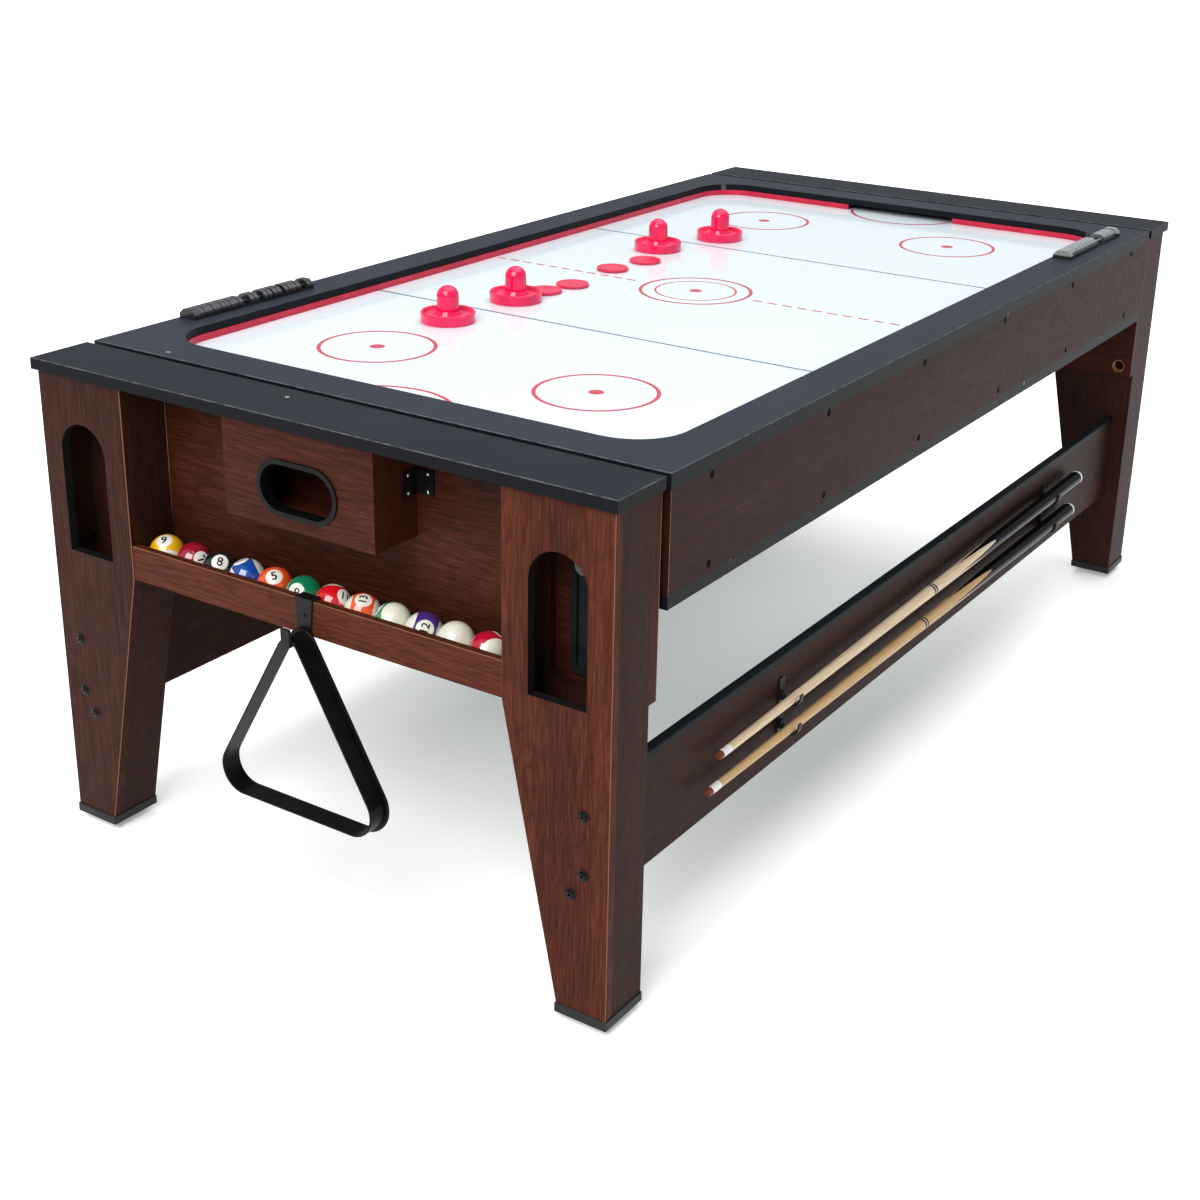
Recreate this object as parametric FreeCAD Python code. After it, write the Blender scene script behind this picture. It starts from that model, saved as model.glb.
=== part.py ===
"""Flip-over games table: air hockey on one face of the cabinet, pool on the other.

The cabinet turns end over end about a long axis (Y) between two leg frames. Units are
millimetres, +Z is up, the floor is z = 0 and the near end faces -Y. Everything is drawn
about the table's own centre line and is then moved by SHIFT_Y, which puts the middle of
the whole outline, rack hook included, on the origin.
"""
import FreeCAD
import Part
import math
import os

V = FreeCAD.Vector

# ---- driving dimensions -------------------------------------------------------------
TOP = 828.0             # height of both end caps and of the cabinet's upper rail
CAP_X = 556.0           # half width of an end cap
END_Y = 1121.0          # outer edge of an end cap
CAP_DEPTH = 117.0
CAP_T = 19.0
LEG_X = 549.0           # outer face of a leg
LEG_W = 184.0           # width of a leg above its taper
LEG_Y = 1114.0          # outer face of a leg's front board
FOOT_W = 85.0
TAPER_Z = 490.0         # where the leg starts to narrow
BOARD = 16.0            # particle board of the legs and the cabinet
PANEL_T = 19.0          # end panel
PANEL_Z = 495.0         # lower edge of an end panel
PANEL_Y = 1002.0        # inner face of an end panel
CAP_GAP = 11.0          # clear height under the foot caps
STRETCH_X = 516.0       # outer face of a stretcher
STRETCH_T = 15.0
STRETCH_Z = (202.0, 388.0)

CAB_X = 555.0           # half width of the cabinet
CAB_Y = 990.0           # half length of the cabinet
CAB_Z = 628.0           # underside of the cabinet
PIVOT_Z = (TOP + CAB_Z) / 2
FIELD_Z = 803.0         # hockey playing surface
FIELD_X = 478.0
FIELD_Y = 912.0
FIELD_R = 88.0          # corner radius of the field
GOAL_HALF = 130.0       # half width of a goal slot
GOAL_H = 12.0
POOL_RAIL_T = 21.0
CLOTH_Z = 668.0         # pool playing surface, facing down
POOL_X = 490.0
POOL_Y = 925.0
CUSHION_W = 48.0

BALL_R = 28.575
BALL_COUNT = 12
BALL_PITCH = 58.4
PUSHER_R = 49.0
PUSHER_H = 65.0
PUCK_R = 31.75
PUCK_T = 6.0

RACK_SIDE = 366.0       # sharp-cornered side of the ball rack
RACK_R = (42.0, 42.0, 22.0)     # outer corner radii: the two lower corners, then the top one
RACK_WALL = 3.0
RACK_BASE_Z = 202.6
RACK_FRONT = 1153.0
RACK_BACK = 1117.5
RACK_FLANGE = 6.0
RACK_FLANGE_T = 4.0
HOOK_LIP = 1157.5       # foremost point of the rack hook

CUE_X = 537.5
CUE_Z = (315.0, 265.0)          # tip height of the upper and lower cue
CUE_RISE = (13.0, -2.0)         # how much higher the butt end lies
CUE_TIP_Y = (-797.0, -826.0)
CUE_LENGTH = 1546.0
CUE_JOINT = 780.0               # distance from the tip to the joint ring
CUE_R_BUTT = 14.5
HOLDER_Y = (-560.0, 600.0)
HOLDER_LIFT = (7.0, 0.0)        # the near holder carries the thinner shafts

SHIFT_Y = (HOOK_LIP - END_Y) / 2
CLEAR = 0.3             # running clearance round a pin


# ---- helpers ------------------------------------------------------------------------
def box(x0, x1, y0, y1, z0, z1):
    return Part.makeBox(x1 - x0, y1 - y0, z1 - z0, V(x0, y0, z0))


def rod(radius, start, direction, length):
    return Part.makeCylinder(radius, length, V(*start), V(*direction))


def ring(outer, inner, start, direction, length):
    return rod(outer, start, direction, length).cut(rod(inner, start, direction, length))


def plane_point(plane, u, v, level):
    if plane == "XZ":
        return V(u, level, v)
    if plane == "YZ":
        return V(level, u, v)
    return V(u, v, level)


def outline(points, radius, plane, level):
    """Closed wire through the points, each corner rounded to the given radius."""
    radii = radius if isinstance(radius, (list, tuple)) else [radius] * len(points)
    count = len(points)
    corners = []
    for i, (u, v) in enumerate(points):
        before, after = points[i - 1], points[(i + 1) % count]
        to_before = (before[0] - u, before[1] - v)
        to_after = (after[0] - u, after[1] - v)
        len_a, len_b = math.hypot(*to_before), math.hypot(*to_after)
        dir_a = (to_before[0] / len_a, to_before[1] / len_a)
        dir_b = (to_after[0] / len_b, to_after[1] / len_b)
        half = math.acos(dir_a[0] * dir_b[0] + dir_a[1] * dir_b[1]) / 2
        reach = radii[i] / math.tan(half)
        bisector = (dir_a[0] + dir_b[0], dir_a[1] + dir_b[1])
        scale = (radii[i] / math.sin(half) - radii[i]) / math.hypot(*bisector)
        start = (u + dir_a[0] * reach, v + dir_a[1] * reach)
        middle = (u + bisector[0] * scale, v + bisector[1] * scale)
        end = (u + dir_b[0] * reach, v + dir_b[1] * reach)
        corners.append((start, middle, end))
    edges = []
    for i, (start, middle, end) in enumerate(corners):
        a, b, c = (plane_point(plane, *p, level) for p in (start, middle, end))
        if radii[i] > 0:
            edges.append(Part.Arc(a, b, c).toShape())
        following = plane_point(plane, *corners[(i + 1) % count][0], level)
        if (following - c).Length > 1e-6:
            edges.append(Part.LineSegment(c, following).toShape())
    return Part.Wire(edges)


def prism(points, plane, low, high, radius=0.0):
    face = Part.Face(outline(points, radius, plane, low))
    return face.extrude(plane_point(plane, 0, 0, high - low))


def rectangle(u, v, half_u, half_v):
    return [(u - half_u, v - half_v), (u + half_u, v - half_v),
            (u + half_u, v + half_v), (u - half_u, v + half_v)]


def turned(profile, origin, axis="Z"):
    """Solid of revolution from (radius, height) points, standing on origin."""
    wire = Part.makePolygon([V(r, 0, h) for r, h in profile] + [V(profile[0][0], 0, profile[0][1])])
    solid = Part.Face(wire).revolve(V(0, 0, 0), V(0, 0, 1), 360)
    if axis == "Y":
        solid.rotate(V(0, 0, 0), V(1, 0, 0), -90)
    solid.translate(V(*origin))
    return solid


def bevel(solid, size, wanted):
    """Chamfer the edges whose ends all satisfy wanted(point)."""
    return solid.makeChamfer(size, [e for e in solid.Edges if all(wanted(v.Point) for v in e.Vertexes)])


def at_level(z):
    return lambda point: abs(point.z - z) < 1e-3


def at_depth(y):
    return lambda point: abs(point.y - y) < 1e-3


def mirrored(solid):
    return solid.mirror(V(0, 0, 0), V(1, 0, 0))


def half_turn(solid):
    """The same piece at the other end of the table."""
    return solid.copy().rotated(V(0, 0, 0), V(0, 0, 1), 180)


def group(solids):
    return Part.makeCompound(list(solids))


def write(name, shape):
    placed = shape.copy()
    placed.translate(V(0, SHIFT_Y, 0))
    placed.exportStep(os.path.join("parts", name + ".step"))


# ---- leg frames ---------------------------------------------------------------------
LEG_BACK = PANEL_Y + PANEL_T
LEG_IN = LEG_X - LEG_W
FOOT_IN = LEG_X - FOOT_W
CAP_H = 16.0
CAP_FLOOR = 4.0
LEG_Z = CAP_GAP + CAP_FLOOR
FOOT_X = (LEG_X + FOOT_IN) / 2
FOOT_Y = -(LEG_Y + LEG_BACK) / 2
WINDOW_X = 459.0
WINDOW_R = 49.0
WINDOW_Z = (510.0, 732.0)
HATCH = (446.0, 621.0, 54.0, 124.0)     # opening in the leg's back: centre x, z, half width, half height
LOCK_X = 470.0
LOCK_Z = 700.0
LOCK_R = 6.0
EDGE = 1.0              # bevel along the edges of the laminated boards
DRAIN = (520.0, 516.0, 12.5)            # drilled hole in each lower panel corner: x, z, radius


def leg_profile(inset=0.0):
    """Leg outline seen from the end, narrowed on each side by inset."""
    taper = math.atan2(FOOT_IN - LEG_IN, TAPER_Z - LEG_Z)
    slanted = inset / math.cos(taper)
    bend = inset * math.tan(taper / 2)
    return [(LEG_X - inset, LEG_Z), (LEG_X - inset, TOP - CAP_T), (LEG_IN + inset, TOP - CAP_T),
            (LEG_IN + inset, TAPER_Z + bend), (FOOT_IN + slanted, LEG_Z)]


def leg_front():
    board = prism(leg_profile(), "XZ", -LEG_Y, -LEG_Y + BOARD)
    window = prism(rectangle(WINDOW_X, (WINDOW_Z[0] + WINDOW_Z[1]) / 2, WINDOW_R,
                             (WINDOW_Z[1] - WINDOW_Z[0]) / 2),
                   "XZ", -LEG_Y - 1, -LEG_Y + BOARD + 1, [0.0, 0.0, WINDOW_R - 0.01, WINDOW_R - 0.01])
    return bevel(board, EDGE, at_depth(-LEG_Y)).cut(window)


def leg_shell():
    """Folded channel behind the front board: outer side, back and inner side."""
    outer = prism(leg_profile(), "XZ", -LEG_Y + BOARD, -LEG_BACK)
    hollow = prism(leg_profile(BOARD), "XZ", -LEG_Y + BOARD - 1, -LEG_BACK - BOARD)
    hatch = prism(rectangle(*HATCH), "XZ", -LEG_BACK - BOARD - 1, -LEG_BACK + 1, 20.0)
    return outer.cut(hollow).cut(hatch)


def foot_cap():
    lip = 2.0
    cup = box(FOOT_IN - lip - 2, LEG_X + lip, -LEG_Y - lip, -LEG_BACK + lip, CAP_GAP, CAP_GAP + CAP_H)
    cup = bevel(cup, 1.0, lambda p: True)
    leg = prism(leg_profile(), "XZ", -LEG_Y, -LEG_BACK)
    boss = rod(12.0, (FOOT_X, FOOT_Y, LEG_Z - 1), (0, 0, 1), 15.0)
    bore = rod(LEVEL_STEM_R + CLEAR, (FOOT_X, FOOT_Y, 0), (0, 0, 1), 60.0)
    return cup.cut(leg).fuse(boss).cut(bore)


LEVEL_STEM_R = 5.0


def leveller(x, y):
    pad_r, pad_h, stem_h, crown = 19.0, 7.0, 50.0, CAP_GAP - 0.3
    pad = [(0, 0), (pad_r - 1.5, 0), (pad_r, 1.5), (pad_r, pad_h), (pad_r - 4, crown)]
    profile = pad + [(LEVEL_STEM_R, crown), (LEVEL_STEM_R, stem_h), (0, stem_h)]
    return turned(profile, (x, y, 0))


def end_cap():
    board = box(-CAP_X, CAP_X, -END_Y, -END_Y + CAP_DEPTH, TOP - CAP_T, TOP)
    return bevel(board, 1.2, at_level(TOP))


def end_panel():
    board = box(-LEG_X, LEG_X, -LEG_BACK, -PANEL_Y, PANEL_Z, TOP - CAP_T)
    slot = box(-GOAL_HALF - 5, GOAL_HALF + 5, -LEG_BACK - 1, -PANEL_Y + 1, FIELD_Z - 14, TOP)
    pivot = rod(BUSH_R, (0, -LEG_BACK - 1, PIVOT_Z), (0, 1, 0), PANEL_T + 2)
    lock = rod(LOCK_R + CLEAR, (LOCK_X, -LEG_BACK - 1, LOCK_Z), (0, 1, 0), PANEL_T + 2)
    drains = [rod(DRAIN[2], (side * DRAIN[0], -LEG_BACK - 1, DRAIN[1]), (0, 1, 0), PANEL_T + 2)
              for side in (-1, 1)]
    for opening in [slot, pivot, lock] + drains:
        board = board.cut(opening)
    return board


def stretcher():
    board = box(STRETCH_X - STRETCH_T, STRETCH_X, -LEG_BACK, LEG_BACK, *STRETCH_Z)
    return bevel(board, EDGE, at_level(STRETCH_Z[1]))


BOLT_SPOTS = [(506.0, 350.0), (507.0, 256.0), (486.0, 219.0)]
INNER_BOLT = (-1050.0, 506.0)


def leg_bolts():
    """Button-head bolts on washers: three on every front board, one inside each side board."""
    washer_r, head_r, head_h, socket_r = 9.5, 7.0, 4.4, 2.0
    button = [(0, 0), (washer_r, 0), (washer_r, 1.0), (head_r, 1.2), (head_r - 1, head_h - 1.2)]
    button += [(head_r / 2, head_h), (socket_r, head_h), (socket_r, head_h - 1.8), (0, head_h - 1.8)]
    near = []
    for x, z in BOLT_SPOTS:
        head = turned(button, (0, 0, 0))
        head.rotate(V(0, 0, 0), V(1, 0, 0), 90)
        head.translate(V(x, -LEG_Y, z))
        near.append(head)
    for x, turn in ((LEG_IN + BOARD, 90), (LEG_X - BOARD, -90)):
        head = turned(button, (0, 0, 0))
        head.rotate(V(0, 0, 0), V(0, 1, 0), turn)
        head.translate(V(x, *INNER_BOLT))
        near.append(head)
    near += [mirrored(b) for b in near]
    return near + [half_turn(b) for b in near]


# ---- goals and ball tray ------------------------------------------------------------
BOX_X = 145.0
BOX_Z = 655.0
BOX_Y = 1117.0
OVAL_Z = 719.0
OVAL_HALF = (70.0, 36.5)        # half width and height of the clear opening
TRIM_FLANGE = 7.5
TRIM_SLEEVE = 4.2
SIDE_T = 12.0


def oval(grow, near, far):
    half_u, half_v = OVAL_HALF[0] + grow, OVAL_HALF[1] + grow
    return prism(rectangle(0.0, OVAL_Z, half_u, half_v), "XZ", near, far, half_v - 0.01)


def goal_box():
    """Puck catcher hung under the cap, open at the back towards the goal slot."""
    outer = box(-BOX_X, BOX_X, -BOX_Y, -LEG_BACK, BOX_Z, TOP - CAP_T)
    inner = box(-BOX_X + SIDE_T, BOX_X - SIDE_T, -BOX_Y + BOARD, -LEG_BACK + 1, BOX_Z + SIDE_T, TOP)
    return outer.cut(inner).cut(oval(TRIM_SLEEVE + 0.1, -BOX_Y - 1, -BOX_Y + BOARD + 1))


def goal_trim():
    flange = oval(TRIM_FLANGE, -BOX_Y - 3.4, -BOX_Y)
    sleeve = oval(TRIM_SLEEVE, -BOX_Y - 3.4, -BOX_Y + BOARD + 2)
    return flange.fuse(sleeve).cut(oval(0.0, -BOX_Y - 4, -BOX_Y + BOARD + 3))


def corner_bracket():
    high, leg, thick = 37.0, 33.0, 3.0
    base = OVAL_Z + 4
    corner = (BOX_X, -LEG_BACK)
    on_panel = box(corner[0], corner[0] + leg, corner[1] - thick, corner[1], base, base + high)
    on_box = box(corner[0], corner[0] + thick, corner[1] - leg, corner[1], base, base + high)
    return on_panel.fuse(on_box)


TRAY_TOP = 548.0
TRAY_BOTTOM = 491.0
TRAY_T = 14.0
TRAY_FRONT = 1112.0
TRAY_FLOOR = 502.0
TRAY_FLOOR_T = 10.0
BALL_Y = -1066.0


def tray_front():
    board = box(-LEG_IN, LEG_IN, -TRAY_FRONT, -TRAY_FRONT + TRAY_T, TRAY_BOTTOM, TRAY_TOP)
    return bevel(board, EDGE, at_level(TRAY_TOP))


def tray_floor():
    return box(-LEG_IN, LEG_IN, -TRAY_FRONT + TRAY_T, -LEG_BACK, TRAY_FLOOR - TRAY_FLOOR_T, TRAY_FLOOR)


def pool_balls():
    first = -LEG_IN + BALL_R + 0.5
    return [Part.makeSphere(BALL_R, V(first + i * BALL_PITCH, BALL_Y, TRAY_FLOOR + BALL_R))
            for i in range(BALL_COUNT)]


# ---- ball rack and its hook ---------------------------------------------------------
def rack_triangle(grow):
    """Corners of the rack's outline, moved outwards by grow."""
    half = RACK_SIDE / 2 + grow * math.sqrt(3)
    height = RACK_SIDE * math.sqrt(3) / 2
    return [(-half, RACK_BASE_Z - grow), (half, RACK_BASE_Z - grow), (0.0, RACK_BASE_Z + height + 2 * grow)]


def rack_radii(grow):
    return [radius + grow for radius in RACK_R]


def triangle_rack():
    lip = -RACK_BACK - RACK_FLANGE_T
    band = prism(rack_triangle(0), "XZ", -RACK_FRONT, -RACK_BACK, rack_radii(0))
    flange = prism(rack_triangle(RACK_FLANGE), "XZ", lip, -RACK_BACK, rack_radii(RACK_FLANGE))
    room = prism(rack_triangle(-RACK_WALL), "XZ", -RACK_FRONT - 1, -RACK_BACK + 1, rack_radii(-RACK_WALL))
    return bevel(band, 0.7, at_depth(-RACK_FRONT)).fuse(bevel(flange, 1.0, at_depth(lip))).cut(room)


HOOK_T = 5.0            # thickness of the hook's arm
HOOK_HALF = 8.5         # half width of the arm and its upturned lip
HOOK_LIP_H = 24.0
HOOK_GAP = 2.4          # clear height between the arm and the rack that hangs on it
SADDLE_HALF = 17.0
SADDLE_T = 3.0


def rack_bracket():
    """Steel hook: saddle over the tray's front board, narrowing plate, arm and lip."""
    top = RACK_BASE_Z + RACK_SIDE * math.sqrt(3) / 2 - RACK_R[2] - RACK_WALL - HOOK_GAP
    low, high = top - HOOK_T, TRAY_TOP + SADDLE_T
    face, behind = -TRAY_FRONT, -TRAY_FRONT + TRAY_T
    taper = SADDLE_HALF - 5
    sides = [(-taper, low), (taper, low), (SADDLE_HALF, high), (-SADDLE_HALF, high)]
    plate = prism(sides, "XZ", face - SADDLE_T, face)
    saddle = box(-SADDLE_HALF, SADDLE_HALF, face, behind + SADDLE_T, TRAY_TOP, high)
    tongue = box(-SADDLE_HALF, SADDLE_HALF, behind, behind + SADDLE_T, TRAY_TOP - 11, high)
    arm = box(-HOOK_HALF, HOOK_HALF, -HOOK_LIP, face, low, top)
    lip = box(-HOOK_HALF, HOOK_HALF, -HOOK_LIP, -HOOK_LIP + 4, low, top + HOOK_LIP_H)
    screw = rod(3.5, (0, face - SADDLE_T, 523.0), (0, -1, 0), 1.5)
    return plate.fuse([saddle, tongue, arm, lip, screw]).removeSplitter()


# ---- cues ---------------------------------------------------------------------------
HOLDER_Z = (247.0, 351.0)


def cue_height(which, y):
    """Height of a cue's centre line at a place along the table."""
    return CUE_Z[which] + CUE_RISE[which] * (y - CUE_TIP_Y[which]) / CUE_LENGTH


def cue_holder(y, lift):
    """Wall plate with two J hooks; each cue lies in a half-round of the butt's radius."""
    wide, arm, thick = 18.0, 9.0, 2.9
    bore = CUE_R_BUTT + 0.7
    inner = CUE_X + bore
    body = prism(rectangle(y, sum(HOLDER_Z) / 2, wide / 2, (HOLDER_Z[1] - HOLDER_Z[0]) / 2),
                 "YZ", STRETCH_X, STRETCH_X + 3.0, 6.0)
    for which in range(len(CUE_Z)):
        axis = cue_height(which, y) + lift
        u_ring = ring(bore + thick, bore, (CUE_X, y - arm / 2, axis), (0, 1, 0), arm)
        upper = box(CUE_X - 2 * bore, CUE_X + 2 * bore, y - arm, y + arm, axis, axis + 2 * bore)
        lip = box(inner, inner + thick, y - arm / 2, y + arm / 2, axis, axis + 5.0)
        stem = box(STRETCH_X + 1, CUE_X - bore, y - arm / 2, y + arm / 2, axis - 12.0, axis + 3.0)
        room = rod(bore, (CUE_X, y - arm, axis), (0, 1, 0), 2 * arm)
        body = body.fuse([u_ring.cut(upper), lip, stem.cut(room)])
    return body.removeSplitter()


def cue(which):
    """Two-piece cue: shaft with ferrule and tip, and butt with its rubber bumper."""
    joint_r, joint_half = 11.0, 8.0
    start = CUE_JOINT - joint_half
    tip = [(0, 0), (5.0, 0), (6.3, 3.0), (6.3, 9.0), (6.6, 9.5), (6.6, 34.0)]
    shaft = tip + [(joint_r - 0.4, start), (0, start)]
    butt = [(0, start), (joint_r, start), (joint_r, CUE_JOINT + joint_half), (CUE_R_BUTT, CUE_LENGTH - 12),
            (CUE_R_BUTT, CUE_LENGTH - 8), (12.0, CUE_LENGTH), (0, CUE_LENGTH)]
    tilt = math.degrees(math.atan(CUE_RISE[which] / CUE_LENGTH))
    pieces = []
    for profile in (shaft, butt):
        piece = turned(profile, (0, 0, 0), "Y")
        piece.rotate(V(0, 0, 0), V(1, 0, 0), tilt)
        piece.translate(V(CUE_X, CUE_TIP_Y[which], CUE_Z[which]))
        pieces.append(piece)
    return group(pieces)


# ---- flip pivots and locks ----------------------------------------------------------
BUSH_R = 22.0
SHAFT_R = 12.0


def pivot_bearing():
    bush = rod(BUSH_R, (0, -LEG_BACK, PIVOT_Z), (0, 1, 0), PANEL_T)
    flange = rod(34.0, (0, -PANEL_Y, PIVOT_Z), (0, 1, 0), 4.0)
    return bush.fuse(flange).cut(rod(SHAFT_R + CLEAR, (0, -LEG_BACK - 1, PIVOT_Z), (0, 1, 0), PANEL_T + 10))


def pivot():
    """Trunnion: square plate on the cabinet end, shaft through the bush, washer behind it."""
    plate = prism(rectangle(0.0, PIVOT_Z, 45.0, 45.0), "XZ", -CAB_Y - 4, -CAB_Y, 6.0)
    shaft = rod(SHAFT_R, (0, -CAB_Y - 4, PIVOT_Z), (0, -1, 0), 38.0)
    washer = rod(19.0, (0, -LEG_BACK - 2, PIVOT_Z), (0, -1, 0), 4.0)
    return plate.fuse([shaft, washer])


LOCK_PLATE = (461.0, 621.0, 37.0, 104.0)        # moulded surround: centre x, z, half width, half height
LOCK_PLATE_T = 10.0
LOCK_RIM = 9.0


def lock_housing():
    """Moulded surround on the end panel, dished where the lock pin passes."""
    x, z, half_x, half_z = LOCK_PLATE
    front = -LEG_BACK - LOCK_PLATE_T
    plate = prism(rectangle(x, z, half_x, half_z), "XZ", front, -LEG_BACK, LOCK_RIM + 5)
    hollow = rectangle(x, z, half_x - LOCK_RIM, half_z - LOCK_RIM)
    dish = prism(hollow, "XZ", front - 1, -LEG_BACK - 4, LOCK_RIM)
    bore = rod(LOCK_R + CLEAR, (LOCK_X, front - 1, LOCK_Z), (0, 1, 0), LOCK_PLATE_T + 2)
    return plate.cut(dish).cut(bore)


def lock_pin():
    """Sliding bolt with a round knob, drawn back clear of the cabinet."""
    knob_r, knob_h, length = 14.0, 16.0, 70.0
    knob = [(0, 0), (knob_r - 2, 0), (knob_r, 2.0), (knob_r, knob_h - 4), (knob_r - 3, knob_h)]
    shank = [(LOCK_R, knob_h), (LOCK_R, length - 2), (LOCK_R - 1.5, length), (0, length)]
    return turned(knob + shank, (LOCK_X, -PANEL_Y - 1 - length, LOCK_Z), "Y")


# ---- cabinet ------------------------------------------------------------------------
SIDE_Z = (CAB_Z + POOL_RAIL_T, FIELD_Z)
POCKETS = [(478.0, 913.0, 56.0), (482.0, 0.0, 52.0)]


def cabinet_sides():
    board = box(CAB_X - BOARD, CAB_X, -CAB_Y, CAB_Y, *SIDE_Z)
    socket = box(-CAB_X - 1, -CAB_X + BOARD + 1, INLET_Y - INLET_HALF[0], INLET_Y + INLET_HALF[0],
                 PIVOT_Z - INLET_HALF[1], PIVOT_Z + INLET_HALF[1])
    return [board, mirrored(board).cut(socket)]


def cabinet_ends():
    board = box(-CAB_X + BOARD, CAB_X - BOARD, -CAB_Y, -CAB_Y + BOARD, *SIDE_Z)
    for x, z in ((LOCK_X, LOCK_Z), (-LOCK_X, 2 * PIVOT_Z - LOCK_Z)):
        board = board.cut(rod(LOCK_R + CLEAR, (x, -CAB_Y - 1, z), (0, 1, 0), BOARD + 2))
    return [board, half_turn(board)]


def hockey_rail():
    slab = box(-CAB_X, CAB_X, -CAB_Y, CAB_Y, FIELD_Z, TOP)
    slab = bevel(slab, 1.2, at_level(TOP))
    field = prism(rectangle(0, 0, FIELD_X, FIELD_Y), "XY", FIELD_Z - 1, TOP + 1, FIELD_R)
    slots = [box(-GOAL_HALF, GOAL_HALF, low, low + 200, FIELD_Z - 1, FIELD_Z + GOAL_H)
             for low in (-FIELD_Y - 150, FIELD_Y - 50)]
    return slab.cut(field).cut(slots[0]).cut(slots[1])


BAND_T = 2.0
BAND_H = 11.5


def bumper_band():
    """Red strip round the foot of the rail wall, left open at both goals."""
    outer = prism(rectangle(0, 0, FIELD_X, FIELD_Y), "XY", FIELD_Z, FIELD_Z + BAND_H, FIELD_R)
    plan = rectangle(0, 0, FIELD_X - BAND_T, FIELD_Y - BAND_T)
    inner = prism(plan, "XY", FIELD_Z - 1, FIELD_Z + BAND_H + 1, FIELD_R - BAND_T)
    goals = box(-GOAL_HALF, GOAL_HALF, -CAB_Y, CAB_Y, FIELD_Z - 1, FIELD_Z + BAND_H + 1)
    return outer.cut(inner).cut(goals)


BED_T = 12.0
CHAMBER_Z = (FIELD_Z - 58.0, FIELD_Z - 52.0)
BLOWER_H = 52.0
RIB_T = 18.0


def hockey_bed():
    return box(-CAB_X + BOARD, CAB_X - BOARD, -CAB_Y + BOARD, CAB_Y - BOARD, FIELD_Z - BED_T, FIELD_Z)


def air_chamber():
    """Floor and rim of the air chamber under the perforated bed, with the fan's inlet."""
    half_x, half_y = 470.0, 900.0
    low, high = CHAMBER_Z
    floor = box(-half_x, half_x, -half_y, half_y, low, high)
    rim = box(-half_x, half_x, -half_y, half_y, high, FIELD_Z - BED_T)
    room = box(-half_x + RIB_T, half_x - RIB_T, -half_y + RIB_T, half_y - RIB_T, high - 1, FIELD_Z)
    return floor.fuse(rim.cut(room)).cut(rod(38.0, (0, 0, low - 1), (0, 0, 1), 10.0))


def blower_housing():
    low, high = CHAMBER_Z[0] - BLOWER_H, CHAMBER_Z[0]
    shell = rod(64.0, (0, 0, low), (0, 0, 1), high - low)
    room = rod(60.0, (0, 0, low + 3), (0, 0, 1), high - low - 6)
    inlet = ring(48.0, 20.0, (0, 0, low - 1), (0, 0, 1), 5.0)
    spokes = [box(-50, 50, -3, 3, low, low + 3), box(-3, 3, -50, 50, low, low + 3)]
    outlet = rod(38.0, (0, 0, high - 4), (0, 0, 1), 5.0)
    spindle = rod(4.0, (0, 0, low), (0, 0, 1), 36.0)
    return shell.cut(room).cut(inlet).fuse(spokes).cut(outlet).fuse(spindle)


def blower_fan():
    low = CHAMBER_Z[0] - BLOWER_H + 5
    hub = rod(14.0, (0, 0, low), (0, 0, 1), 28.0)
    disc = ring(54.0, 13.0, (0, 0, low + 24), (0, 0, 1), 4.0)
    blades = []
    for i in range(12):
        blade = box(36.0, 52.0, -1.2, 1.2, low, low + 25)
        blade.rotate(V(0, 0, 0), V(0, 0, 1), i * 30.0)
        blades.append(blade)
    return hub.fuse([disc] + blades).cut(rod(4.0 + CLEAR, (0, 0, low - 1), (0, 0, 1), 40.0))


INLET_Y = 700.0
INLET_HALF = (23.0, 12.0)       # half size of the socket body in the left side board
INLET_FACE = -CAB_X - 0.9
JACK_Y = INLET_Y + 13.0
SWITCH_Y = INLET_Y - 9.0
SWITCH_HALF = (10.4, 7.0)       # half size of the well that the switch rocks in
SWITCH_X = -CAB_X + 6.0         # axis of the rocker's pin
SWITCH_PIN_R = 1.0
SWITCH_TILT = 8.0


def power_inlet():
    """Low-voltage socket for the fan with the well and pin of its rocker switch."""
    body = box(-CAB_X, -CAB_X + BOARD + 4, INLET_Y - INLET_HALF[0], INLET_Y + INLET_HALF[0],
               PIVOT_Z - INLET_HALF[1], PIVOT_Z + INLET_HALF[1])
    rim = 4.0
    plate = rectangle(INLET_Y, PIVOT_Z, INLET_HALF[0] + rim, INLET_HALF[1] + rim)
    flange = prism(plate, "YZ", INLET_FACE, -CAB_X, rim)
    jack = ring(4.0, 1.2, (INLET_FACE - 1, JACK_Y, PIVOT_Z), (1, 0, 0), 11.0)
    well = box(INLET_FACE - 1, -CAB_X + 14, SWITCH_Y - SWITCH_HALF[0], SWITCH_Y + SWITCH_HALF[0],
               PIVOT_Z - SWITCH_HALF[1], PIVOT_Z + SWITCH_HALF[1])
    pin = rod(SWITCH_PIN_R, (SWITCH_X, SWITCH_Y, PIVOT_Z - SWITCH_HALF[1]), (0, 0, 1), 2 * SWITCH_HALF[1])
    return body.fuse(flange).cut(jack).cut(well).fuse(pin)


def fan_switch():
    """Shallow V-faced rocker, stored tipped to off."""
    half, low, thick = 9.0, 4.5, SWITCH_HALF[1] - 0.5
    side = [(-low, -half), (1, -half), (4, -3), (4, 3), (1, half), (-low, half), (1.4 - low, 0)]
    face = [(SWITCH_X + dx, SWITCH_Y + dy) for dx, dy in side]
    rocker = prism(face, "XY", PIVOT_Z - thick, PIVOT_Z + thick)
    bore = rod(SWITCH_PIN_R + CLEAR, (SWITCH_X, SWITCH_Y, PIVOT_Z - 10), (0, 0, 1), 20.0)
    rocker = rocker.cut(bore)
    rocker.rotate(V(SWITCH_X, SWITCH_Y, PIVOT_Z), V(0, 0, 1), -SWITCH_TILT)
    return rocker


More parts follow.
